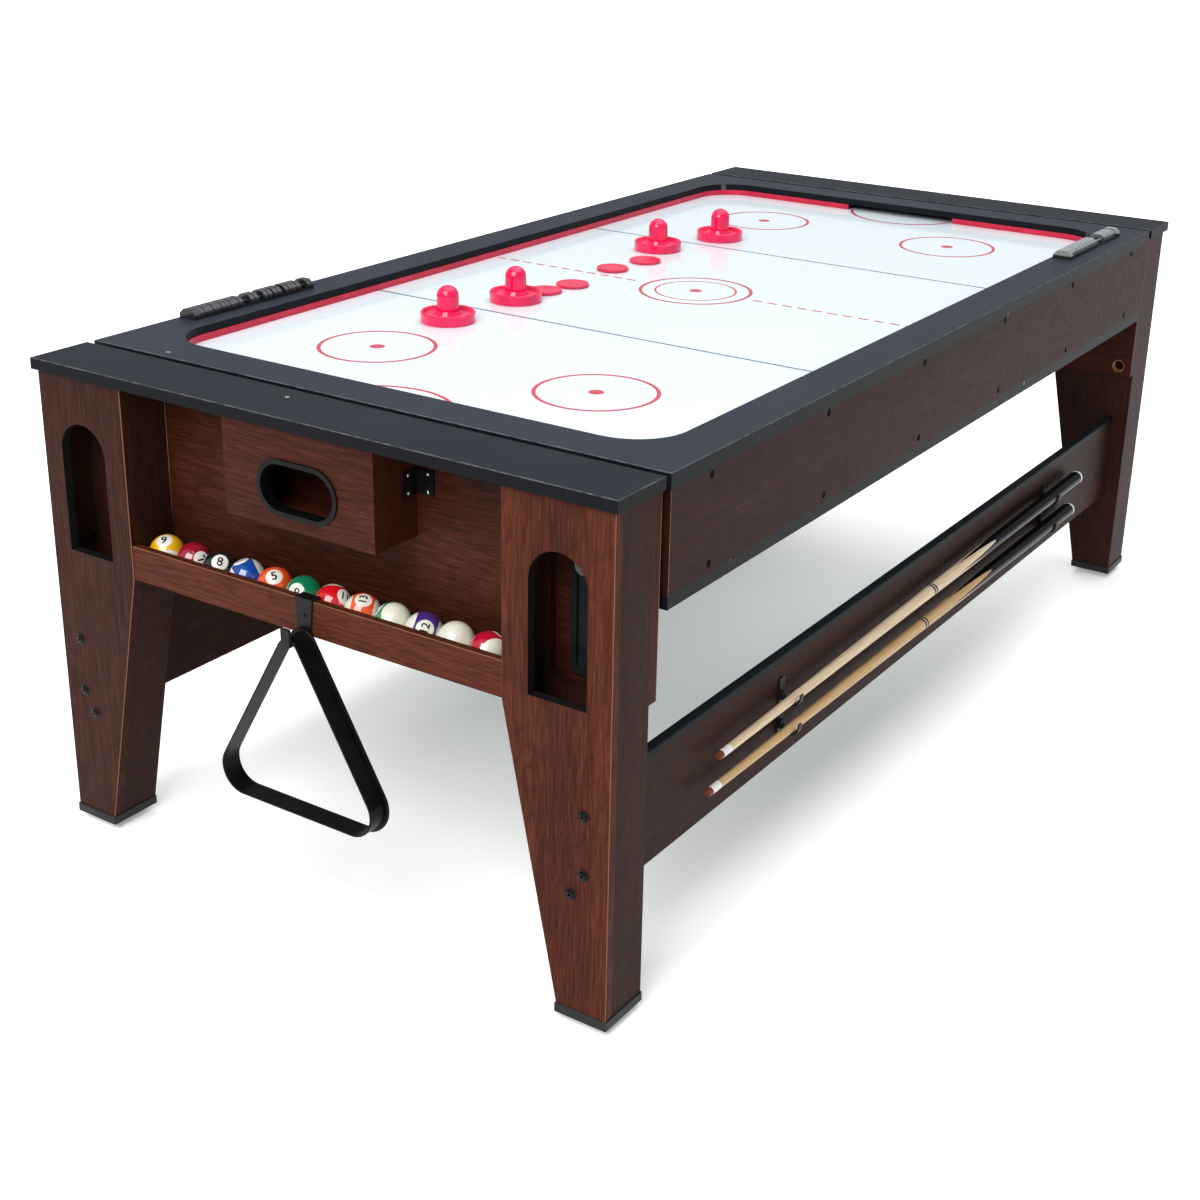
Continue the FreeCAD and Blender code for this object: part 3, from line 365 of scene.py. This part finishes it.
def paint_frame():
    for i, node in enumerate(n for n in named("leg_") if n.endswith("_front")):
        # The near-left and far-right leg fronts take the darker cherry: painted shade.
        tones = CHERRY_IN_DEEP_SHADE if node in ("leg_near_left_front", "leg_far_right_front") else CHERRY
        paint([node], leg_front_material(node, 1.7 * i + 0.4, tones))
    for i, node in enumerate(n for n in named("leg_") if n.endswith("_shell")):
        paint([node], laminate(node + "_wood", "z", seed=2.3 * i, edges=False, **WALNUT))
    for i, node in enumerate(named("end_panel")):
        paint([node], end_panel_material(node, 3.1 * i + 0.9))
    # Goal boxes in the darkened cherry: painted shade.
    paint(named("goal_box"), laminate("goal_box_wood", "x", seed=5.2, edges=False, **CHERRY_IN_SHADE))
    paint(["tray_front"], laminate("tray_wood", "x", seed=7.4, **CHERRY))
    paint(["tray_floor"], plastic("tray_lining", (0.012, 0.011, 0.010), 0.7))
    paint(["stretchers"], laminate("stretcher_wood", "y", seed=4.1, edges=False, **WALNUT))
    paint(["end_caps"], black_laminate("cap_black"))
    paint(["foot_caps"], plastic("foot_cap_black", (0.006, 0.006, 0.006), 0.5))
    paint(named("leveller"), plastic("leveller_black", (0.012, 0.012, 0.012), 0.55))
    paint(["goal_trims"], plastic("trim_black", (0.0016, 0.0019, 0.002), 0.30, specular=0.10))
    paint(["corner_brackets"], plastic("bracket_black", (0.0035, 0.004, 0.004), 0.36, specular=0.12))
    paint(["rack_bracket"], plastic("hook_black", (0.004, 0.004, 0.0045), 0.36, specular=0.14))
    paint(["cue_holders"], plastic("holder_black", (0.005, 0.005, 0.005), 0.4))
    paint(["lock_housings"], plastic("lock_black", (0.006, 0.010, 0.009), 0.35))
    paint(["leg_bolts"], metal("bolt_dark", (0.020, 0.019, 0.020), 0.30))
    paint(["pivot_bearings", "pivots"], metal("pivot_zinc", (0.55, 0.56, 0.58), 0.3))
    for node in named("lock_pin"):
        paint([node], lock_pin_material(node))
    paint(["triangle_rack"], plastic("rack_black", (0.0028, 0.0028, 0.003), 0.36, relief=0.2, specular=0.10))
    paint(["cue_upper"], cue_material("cue_upper", (0.70, 0.57, 0.40), (0.55, 0.41, 0.26), 0.89, 1.072))
    paint(["cue_lower"], cue_material("cue_lower", (0.56, 0.39, 0.20), (0.43, 0.27, 0.12), 0.89, 1.094))


def paint_cabinet():
    paint(["cabinet_sides"], laminate("cabinet_side_wood", "y", seed=8.8, edges=False, **WALNUT))
    paint(["cabinet_ends"], laminate("cabinet_end_wood", "x", seed=6.1, edges=False, **WALNUT))
    # The rails' lighter black tone is a painted sheen.
    paint(["hockey_rail", "pool_rail"], black_laminate("rail_black", tone=0.015))
    paint(["hockey_bed"], playfield())
    paint(["bumper_band"], plastic("bumper_red", (0.52, 0.010, 0.045), 0.3, coat=0.2))
    paint(["air_chamber"], raw_board("chamber_board", (0.45, 0.33, 0.20)))
    paint(named("blower"), plastic("blower_grey", (0.02, 0.02, 0.022), 0.45))
    paint(["power_inlet"], plastic("inlet_black", (0.008, 0.008, 0.009), 0.4))
    paint(["fan_switch"], plastic("switch_black", (0.012, 0.012, 0.012), 0.25, coat=0.3))
    paint(["pool_bed"], cloth("bed_cloth", (0.012, 0.085, 0.045)))
    paint(["cushions"], cloth("cushion_cloth", (0.010, 0.070, 0.037)))
    paint(["pockets"], plastic("pocket_black", (0.008, 0.008, 0.008), 0.5))
    paint(["scorer_racks"], scorer_base())
    paint(["scorer_beads_left"], plastic("bead_black", (0.012, 0.014, 0.019), 0.2, coat=0.4))
    paint(["scorer_beads_right"], silver_beads())
    paint(named("pusher"), plastic("striker_red", (0.74, 0.004, 0.080), 0.16, coat=0.5, relief=0.02))
    paint(named("puck"), plastic("puck_red", (0.60, 0.020, 0.070), 0.3, coat=0.1))


# ---- added pieces ---------------------------------------------------------------------
def add_mesh(name, vertices, faces, material, body, smooth=True):
    mesh = bpy.data.meshes.new(name)
    mesh.from_pydata([tuple(v) for v in vertices], [], faces)
    mesh.validate()
    mesh.materials.append(material)
    mesh.polygons.foreach_set("use_smooth", [smooth] * len(mesh.polygons))
    made = bpy.data.objects.new(name, mesh)
    bpy.context.scene.collection.objects.link(made)
    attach(made, body)
    return made


INK = 0.00015           # how far the print stands above the playing surface


def ring_faces(vertices, faces, centre, inner, outer, start=0.0, sweep=2 * math.pi, steps=72):
    """Adds a flat ring, disc or arc at the playing surface to the lists."""
    base = len(vertices)
    for i in range(steps + 1):
        angle = start + sweep * i / steps
        for radius in (inner, outer):
            x, y = centre[0] + radius * math.cos(angle), MID_Y + centre[1] + radius * math.sin(angle)
            vertices.append((x, y, FIELD_Z + INK))
    for i in range(steps):
        a = base + 2 * i
        faces.append((a, a + 1, a + 3, a + 2))


def bar_faces(vertices, faces, x0, x1, y0, y1):
    base = len(vertices)
    for x, y in ((x0, y0), (x1, y0), (x1, y1), (x0, y1)):
        vertices.append((x, MID_Y + y, FIELD_Z + INK))
    faces.append((base, base + 1, base + 2, base + 3))


def field_markings():
    """Red circles, spots, goal creases and dashed centre line, then the two blue lines."""
    red, blue = printed("ink_red", (0.46, 0.012, 0.035)), printed("ink_blue", (0.085, 0.15, 0.22))
    vertices, faces = [], []
    line, thin_line, half_line, pinhole = 0.0068, 0.004, 0.0030, 0.0001
    spot_x, spot_y, spot_r, circle_r = 0.222, 0.672, 0.013, 0.1015
    centre_r, inner_r, centre_spot_r, clear_r = 0.109, 0.079, 0.012, 0.115
    for x in (-spot_x, spot_x):
        for y in (-spot_y, spot_y):
            ring_faces(vertices, faces, (x, y), circle_r - line, circle_r)
            ring_faces(vertices, faces, (x, y), pinhole, spot_r, steps=36)
    ring_faces(vertices, faces, (0, 0), centre_r - line, centre_r)
    ring_faces(vertices, faces, (0, 0), inner_r - thin_line, inner_r)
    ring_faces(vertices, faces, (0, 0), pinhole, centre_spot_r, steps=36)
    crease_y, crease_r = 0.954, 0.130
    half = math.acos((crease_y - FIELD_Y) / crease_r)
    ring_faces(vertices, faces, (0, -crease_y), crease_r - line, crease_r, math.pi / 2 - half, 2 * half)
    ring_faces(vertices, faces, (0, crease_y), crease_r - line, crease_r, -math.pi / 2 - half, 2 * half)
    edge, dash, pitch = FIELD_X - 0.003, 0.020, 0.0312
    count = int(2 * edge / pitch)
    for i in range(count):
        x = -count * pitch / 2 + i * pitch
        if abs(x + dash / 2) > clear_r:
            bar_faces(vertices, faces, x, x + dash, -half_line, half_line)
    add_mesh("field_print_red", vertices, faces, red, "cabinet")
    vertices, faces = [], []
    blue_y = 0.364
    for y in (-blue_y, blue_y):
        bar_faces(vertices, faces, -edge, edge, y - half_line, y + half_line)
    add_mesh("field_print_blue", vertices, faces, blue, "cabinet")


def air_holes():
    """The fine grid of air holes, drawn as small grey discs: painted shade of the open holes."""
    pitch, radius, sides = 0.0508, 0.0006, 6
    vertices, faces = [], []
    for i in range(-8, 9):
        for j in range(-17, 18):
            x, y = (i + 0.5) * pitch, j * pitch
            base = len(vertices)
            for k in range(sides):
                angle = 2 * math.pi * k / sides
                vertices.append((x + radius * math.cos(angle), MID_Y + y + radius * math.sin(angle),
                                 FIELD_Z + INK / 2))
            faces.append(tuple(range(base, base + sides)))
    # Grey of the discs: painted shade inside the holes.
    hole_shade_tone = plastic("air_hole_shade", (0.35, 0.37, 0.40), 0.6)
    add_mesh("air_holes", vertices, faces, hole_shade_tone, "cabinet")


def turned_mesh(name, profile, place, axis, material, body, steps=32):
    """Surface of revolution of (radius, height) points about axis, standing at place."""
    turn = Vector((0, 0, 1)).rotation_difference(Vector(axis)).to_matrix()
    vertices, faces = [], []
    for radius, height in profile:
        for i in range(steps):
            angle = 2 * math.pi * i / steps
            point = Vector((radius * math.cos(angle), radius * math.sin(angle), height))
            vertices.append(Vector(place) + turn @ point)
    for row in range(len(profile) - 1):
        for i in range(steps):
            a, b = row * steps + i, row * steps + (i + 1) % steps
            faces.append((a, b, b + steps, a + steps))
    faces.append(tuple(reversed(range(steps))))
    faces.append(tuple(range((len(profile) - 1) * steps, len(profile) * steps)))
    return add_mesh(name, vertices, faces, material, body)


def strip(name, start, end, width, thick, outward, material, body):
    """Half-round edging between two points: width across, thick outwards."""
    start, end, outward = Vector(start), Vector(end), Vector(outward).normalized()
    along = (end - start).normalized()
    across = along.cross(outward)
    steps = 6
    vertices, faces = [], []
    for point in (start, end):
        for i in range(steps + 1):
            angle = math.pi * i / steps
            sideways, raised = width / 2 * math.cos(angle), thick * math.sin(angle)
            vertices.append(point + across * sideways + outward * raised)
    row = steps + 1
    for i in range(steps):
        faces.append((i, i + 1, i + 1 + row, i + row))
    faces.append((steps, 0, row, row + steps))
    faces.append(tuple(reversed(range(row))))
    faces.append(tuple(range(row, 2 * row)))
    return add_mesh(name, vertices, faces, material, body)


def scorer_base():
    """Score-keeper moulding: black on the left side, silver end blocks on the right."""
    g = Graph("scorer_base", rough=0.3, coat=0.2, coat_rough=0.1, specular=0.3)
    x, _, z = g.split()
    silver = g.math("MULTIPLY", g.math("GREATER_THAN", x, 0.0), g.math("GREATER_THAN", z, TOP_Z + 0.0065))
    colour = g.mix(silver, (0.010, 0.011, 0.013), (0.22, 0.23, 0.225))
    fine = g.noise(420.0, 3.0)
    return g.finish(colour, g.ramp(fine, [(0.3, 0.25), (0.7, 0.38)]), fine, 0.1, 0.0001)


def silver_beads():
    """Counters with pale crests, painted shade in the grooves between them and a painted shadow along their
    lower part.
    """
    g = Graph("bead_silver", rough=0.3, coat=0.2, coat_rough=0.1, specular=0.3)
    _, y, z = g.split()
    height = g.math("SUBTRACT", z, TOP_Z)
    # Dark grooves between the crests: painted shade.
    groove_shade = g.ramp(g.math("SINE", g.math("MULTIPLY", y, 560.0)), [(0.2, 0.0), (0.8, 0.75)])
    # Counters darkened below 11.5 mm: painted shadow.
    colour = g.mix(g.math("LESS_THAN", height, 0.0115), (0.27, 0.29, 0.31), (0.03, 0.034, 0.038))
    return g.finish(g.mix(groove_shade, colour, (0.05, 0.055, 0.065)), None, g.noise(260.0, 2.0), 0.1, 0.0001)


def side_screws():
    """Countersunk screw heads along the cabinet's long sides."""
    dark = plastic("screw_black", (0.0012, 0.001, 0.001), 0.7, specular=0.02)
    low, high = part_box("cabinet_sides")
    head_r, proud, recess_r = 0.0060, 0.0004, 0.0016
    profile = [(head_r, -0.001), (head_r, 0.0), (0.0052, proud), (recess_r, proud), (0.0014, -0.0006)]
    spacing = (high.y - low.y) * 0.178
    for side, x, label in ((-1, low.x, "left"), (1, high.x, "right")):
        for row, z in enumerate((low.z + 0.014, high.z - 0.007)):
            for i in range(6):
                place = (x, MID_Y + (i - 2.5) * spacing, z)
                turned_mesh("side_screw_%s_%d_%d" % (label, row, i), profile, place, (side, 0, 0), dark,
                            "cabinet", steps=16)


def bracket_screws():
    bright = metal("screw_bright", (0.5, 0.5, 0.52), 0.25)
    profile = [(0.0036, -0.0005), (0.0036, 0.0008), (0.0022, 0.0018), (0.0006, 0.002)]
    low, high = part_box("corner_brackets")
    middle = (low.z + high.z) / 2
    box_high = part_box("goal_box_near")[1]
    far, close = 0.022, 0.003
    for end, sign in (("near", -1), ("far", 1)):
        panel = MID_Y + sign * (MID_Y - box_high.y)
        for side in (-1, 1):
            corner = side * box_high.x
            for i, z in enumerate((middle - 0.014, middle + 0.014)):
                on_panel = (corner + side * far, panel + sign * close, z), (0, sign, 0)
                on_box = (corner + side * close, panel + sign * far, z), (side, 0, 0)
                for j, (place, axis) in enumerate((on_panel, on_box)):
                    turned_mesh("bracket_screw_%s_%d_%d_%d" % (end, side, i, j), profile, place, axis, bright,
                                "frame", steps=16)


def moulding(name, profile, y0, y1, material, body):
    """Closed (x, z) profile drawn along Y."""
    count = len(profile)
    vertices = [(x, y, z) for y in (y0, y1) for x, z in profile]
    faces = [(i, (i + 1) % count, (i + 1) % count + count, i + count) for i in range(count)]
    faces += [tuple(reversed(range(count))), tuple(range(count, 2 * count))]
    return add_mesh(name, vertices, faces, material, body, smooth=False)


def stretcher_edging():
    """Black channel moulding pressed over the top edge of each stretcher."""
    black = black_laminate("edging_black")
    low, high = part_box("stretchers")
    thick, drop, skin, gap, inset = 0.015, 0.011, 0.0012, 0.0001, 0.0005
    for side, label in ((-1, "left"), (1, "right")):
        outer, inner = side * high.x, side * (high.x - thick)
        a, b = outer + side * skin, inner - side * skin
        profile = [(a, high.z - drop), (a, high.z), (outer, high.z + 2 * skin), (inner, high.z + 2 * skin),
                   (b, high.z), (b, high.z - drop), (inner, high.z - drop), (inner, high.z + gap),
                   (outer, high.z + gap), (outer, high.z - drop)]
        moulding("stretcher_edging_" + label, profile, low.y + inset, high.y - inset, black, "frame")


def shell_edges(highlight_tone):
    """Front edge of each leg's inner side, above the tray."""
    width, thick, proud = 0.0018, 0.0007, 0.0016
    for name in sorted(n for n in NODES if n.endswith("_shell")):
        low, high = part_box(name)
        near = low.y < MID_Y - 1
        inner = high.x if high.x < 0 else low.x
        side = 1 if high.x < 0 else -1
        foremost = high.y - proud if near else low.y + proud
        # Pale strip up this edge: a painted highlight.
        strip(name + "_edge", (inner, foremost, TRAY_HIGH), (inner, foremost, high.z - 0.001), width, thick,
              (side, 0, 0), highlight_tone, "frame")


def cabinet_edges(highlight_tone):
    """Upright ends of the cabinet's side boards."""
    width, thick, inset = 0.0014, 0.0004, 0.0008
    low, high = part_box("cabinet_sides")
    for side, label in ((-1, "left"), (1, "right")):
        x = side * high.x
        for y, end in ((low.y + inset, "near"), (high.y - inset, "far")):
            # Pale strip up this edge: a painted highlight.
            strip("cabinet_edge_%s_%s" % (label, end), (x, y, low.z), (x, y, high.z), width, thick,
                  (side, 0, 0), highlight_tone, "cabinet")


def panel_edges(highlight_tone):
    """Upright sides of the two end panels."""
    width, thick, inset = 0.0016, 0.0005, 0.001
    for name in ("end_panel_near", "end_panel_far"):
        low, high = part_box(name)
        inside = high.y - inset if name.endswith("near") else low.y + inset
        for x in (low.x, high.x):
            # Pale strip up this edge: a painted highlight.
            strip("%s_edge_%d" % (name, x > 0), (x, inside, low.z), (x, inside, high.z), width, thick,
                  (1 if x > 0 else -1, 0, 0), highlight_tone, "frame")


def edge_strips():
    """Painted highlight lines along the board edges, drawn as pale strips, and the black channel moulding on
    the stretchers.
    """
    highlight_tone = plastic("edge_highlight", EDGE_HIGHLIGHT, 0.5)
    stretcher_edging()
    shell_edges(highlight_tone)
    cabinet_edges(highlight_tone)
    panel_edges(highlight_tone)


# ---- pool balls -----------------------------------------------------------------------
BALL_WHITE = (0.72, 0.71, 0.60)
CAMERA_BACK = Vector((0.625, -0.678, 0.39)).normalized()
CAMERA_RIGHT = Vector((0.8358, 0.5491, 0.0))
CAMERA_UP = CAMERA_BACK.cross(CAMERA_RIGHT).normalized()
# number, colour, striped, disc and pole directions seen by the viewer (right, up, towards), turn of the
# number on a plain ball
BALLS = [(9, (0.80, 0.44, 0.006), True, (-0.15, 0.74, 0.65), (-0.05, 0.74, -0.64), 0.0),
         (7, (0.30, 0.006, 0.022), False, (0.52, 0.02, 0.80), None, -0.9),
         (8, (0.010, 0.010, 0.011), False, (0.02, 0.32, 0.92), None, -0.2),
         (10, (0.006, 0.060, 0.34), True, (0.15, 0.97, 0.15), (-0.88, -0.42, 0.20), 0.0),
         (5, (0.80, 0.085, 0.015), False, (-0.06, 0.46, 0.86), None, 0.3),
         (6, (0.004, 0.19, 0.085), False, (-0.40, 0.12, 0.90), None, 1.9),
         (11, (0.62, 0.006, 0.012), True, (0.60, 0.02, 0.78), (0.10, 0.86, -0.50), 0.0),
         (13, (0.80, 0.085, 0.015), True, (0.12, 0.66, 0.74), (-0.98, 0.16, 0.02), 0.0),
         (14, (0.02, 0.28, 0.12), True, (0.80, -0.60, -0.05), (0.25, 0.36, 0.90), 0.0),
         (12, (0.065, 0.020, 0.19), True, (0.10, 0.10, 0.98), (-0.93, 0.30, 0.10), 0.0),
         (0, BALL_WHITE, False, (0.0, -1.0, 0.0), None, 0.0),
         (15, (0.46, 0.004, 0.030), True, (0.61, 0.79, 0.0), (0.36, -0.28, 0.89), 0.0)]
DISC_REACH = 0.47       # angular radius of a number disc
BAND_HALF = 0.0168      # half width of the coloured band on a striped ball
ONE_DIGIT, TWO_DIGITS = 0.0205, 0.0175      # type sizes of the ball numbers


def resin(name, colour, striped):
    g = Graph(name, rough=0.1, coat=0.8, coat_rough=0.03)
    worn = g.ramp(g.noise(90.0, 4.0), [(0.3, 0.06), (0.75, 0.16)])
    tone = g.ramp(g.noise(60.0, 3.0), [(0.3, tuple(c * 0.92 for c in colour)), (0.7, colour)])
    if striped:
        height = g.math("ABSOLUTE", g.split()[2])
        tone = g.mix(g.math("GREATER_THAN", height, BAND_HALF), tone, BALL_WHITE)
    return g.finish(tone, worn)


def sphere_patch(centre, radius, facing, reach, rings=5, steps=28):
    """Vertices and faces of a round cap on a sphere."""
    side = facing.orthogonal().normalized()
    other = facing.cross(side)
    vertices, faces = [centre + facing * radius], []
    for ring in range(1, rings + 1):
        tilt = reach * ring / rings
        for i in range(steps):
            angle = 2 * math.pi * i / steps
            around = side * math.cos(angle) + other * math.sin(angle)
            vertices.append(centre + (facing * math.cos(tilt) + around * math.sin(tilt)) * radius)
    for i in range(steps):
        faces.append((0, 1 + i, 1 + (i + 1) % steps))
        for ring in range(rings - 1):
            a, b = 1 + ring * steps + i, 1 + ring * steps + (i + 1) % steps
            faces.append((a, a + steps, b + steps, b))
    return vertices, faces


def numeral(text, centre, radius, facing, up, material, name):
    """The ball's number as a thin skin wrapped on the sphere."""
    curve = bpy.data.curves.new(name, "FONT")
    curve.body = text
    curve.align_x, curve.align_y = "CENTER", "CENTER"
    curve.size = ONE_DIGIT if len(text) == 1 else TWO_DIGITS
    curve.offset = 0.00045
    carrier = bpy.data.objects.new(name + "_curve", curve)
    bpy.context.scene.collection.objects.link(carrier)
    bpy.context.view_layer.update()
    mesh = bpy.data.meshes.new_from_object(carrier.evaluated_get(bpy.context.evaluated_depsgraph_get()))
    bpy.data.objects.remove(carrier)
    work = bmesh.new()
    work.from_mesh(mesh)
    bmesh.ops.subdivide_edges(work, edges=work.edges[:], cuts=3, use_grid_fill=True)
    across = up.cross(facing).normalized()
    upright = facing.cross(across).normalized()
    for vertex in work.verts:
        ray = facing + across * (vertex.co.x / radius) + upright * (vertex.co.y / radius)
        vertex.co = centre + ray.normalized() * radius
    work.to_mesh(mesh)
    work.free()
    mesh.materials.append(material)
    made = bpy.data.objects.new(name, mesh)
    bpy.context.scene.collection.objects.link(made)
    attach(made, "pool_balls")


def seen(direction):
    """World direction of a (right, up, towards the viewer) triple."""
    right, up, towards = direction
    return (CAMERA_RIGHT * right + CAMERA_UP * up + CAMERA_BACK * towards).normalized()


def pool_balls():
    low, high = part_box("pool_balls")
    radius = (high.z - low.z) / 2
    pitch = (high.x - low.x - 2 * radius) / (len(BALLS) - 1)
    disc_tone = plastic("disc_white", (0.76, 0.75, 0.68), 0.12, coat=0.4)
    ink = plastic("numeral_black", (0.01, 0.01, 0.01), 0.2)
    for i, (number, colour, striped, disc, pole, turned) in enumerate(BALLS):
        centre = Vector((low.x + radius + i * pitch, (low.y + high.y) / 2, low.z + radius))
        facing = seen(disc)
        if striped:
            axis = seen(pole)
            facing = (facing - axis * facing.dot(axis)).normalized()
        else:
            flat = (CAMERA_UP - facing * facing.dot(CAMERA_UP)).normalized()
            axis = Matrix.Rotation(turned, 3, facing) @ flat
        turn = Vector((0, 0, 1)).rotation_difference(axis).to_matrix().to_4x4()
        work = bmesh.new()
        bmesh.ops.create_uvsphere(work, u_segments=48, v_segments=28, radius=radius)
        mesh = bpy.data.meshes.new("pool_ball_%d" % (i + 1))
        work.to_mesh(mesh)
        work.free()
        mesh.polygons.foreach_set("use_smooth", [True] * len(mesh.polygons))
        mesh.materials.append(resin("resin_%d" % (i + 1), colour, striped))
        ball = bpy.data.objects.new("pool_ball_%d" % (i + 1), mesh)
        bpy.context.scene.collection.objects.link(ball)
        ball.matrix_world = Matrix.Translation(centre) @ turn
        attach(ball, "pool_balls")
        if i == 0:
            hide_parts("pool_balls")
        if number:
            for side, direction in (("a", facing), ("b", -facing)):
                vertices, faces = sphere_patch(centre, radius + 0.00006, direction, DISC_REACH)
                add_mesh("ball_disc_%d_%s" % (i + 1, side), vertices, faces, disc_tone, "pool_balls")
                numeral(str(number), centre, radius + 0.00015, direction, axis, ink,
                        "ball_number_%d_%s" % (i + 1, side))


# ---- stage ----------------------------------------------------------------------------
def area_light(name, place, target, size, power, colour=(1, 1, 1), mirrored=True):
    data = bpy.data.lights.new(name, "AREA")
    data.shape = "RECTANGLE"
    data.size, data.size_y = size
    data.energy = power
    data.color = colour
    light = bpy.data.objects.new(name, data)
    light.location = place
    light.visible_glossy = mirrored
    light.rotation_euler = (Vector(target) - Vector(place)).to_track_quat("-Z", "Y").to_euler()
    bpy.context.scene.collection.objects.link(light)


def stage():
    """Pale floor with a faint glow of its own, a white sky and three soft lights."""
    g = Graph("floor_pale", rough=0.9)
    material = g.finish(g.ramp(g.noise(3.0, 2.0), [(0.3, (0.93, 0.93, 0.93)), (0.7, (0.95, 0.95, 0.95))]))
    g.shader.inputs["Emission Color"].default_value = (1, 1, 1, 1)
    g.shader.inputs["Emission Strength"].default_value = 0.26
    mesh = bpy.data.meshes.new("floor")
    reach = 40.0
    corners = [(-reach, -reach, 0), (reach, -reach, 0), (reach, reach, 0), (-reach, reach, 0)]
    mesh.from_pydata(corners, [], [(0, 1, 2, 3)])
    mesh.materials.append(material)
    floor = bpy.data.objects.new("floor", mesh)
    bpy.context.scene.collection.objects.link(floor)
    world = bpy.data.worlds.new("studio")
    world.use_nodes = True
    sky = world.node_tree.nodes["Background"]
    sky.inputs["Color"].default_value = (0.95, 0.975, 1.0, 1)
    sky.inputs["Strength"].default_value = 0.50
    bpy.context.scene.world = world
    area_light("key", (0.3, -4.7, 4.1), (0, -0.5, 0.3), (4.0, 3.0), 310, (1, 0.98, 0.95))
    area_light("overhead", (0.3, 0.6, 4.6), (0, 0, 0.8), (5.0, 5.0), 150)
    area_light("backdrop", (-5.0, 10.5, 6.5), (-6.0, 11.5, 0), (14.0, 9.0), 2600, mirrored=False)
    bpy.context.scene.view_settings.view_transform = "Standard"


AZIMUTH, ELEVATION, ROLL = math.radians(33.23), math.radians(21.32), math.radians(1.08)
CAMERA_PLACE = Vector((1.7322, MID_Y - 2.9501, TOP_Z + 0.7956))
LENS = 54.70
SHIFT = (-0.0025, -0.0506)      # lens shift that frames the table


def camera():
    back = Vector((math.sin(AZIMUTH) * math.cos(ELEVATION), -math.cos(AZIMUTH) * math.cos(ELEVATION),
                   math.sin(ELEVATION)))
    right = (-back).cross(Vector((0, 0, 1))).normalized()
    up = right.cross(-back)
    rolled = right * math.cos(ROLL) + up * math.sin(ROLL), up * math.cos(ROLL) - right * math.sin(ROLL)
    data = bpy.data.cameras.new("camera")
    data.lens = LENS
    data.sensor_width = 36.0
    data.shift_x, data.shift_y = SHIFT
    made = bpy.data.objects.new("camera", data)
    turned = Matrix((rolled[0], rolled[1], back)).transposed().to_4x4()
    made.matrix_world = Matrix.Translation(CAMERA_PLACE) @ turned
    bpy.context.scene.collection.objects.link(made)
    bpy.context.scene.camera = made


def main():
    paint_frame()
    paint_cabinet()
    field_markings()
    air_holes()
    side_screws()
    bracket_screws()
    edge_strips()
    pool_balls()
    stage()
    camera()


main()
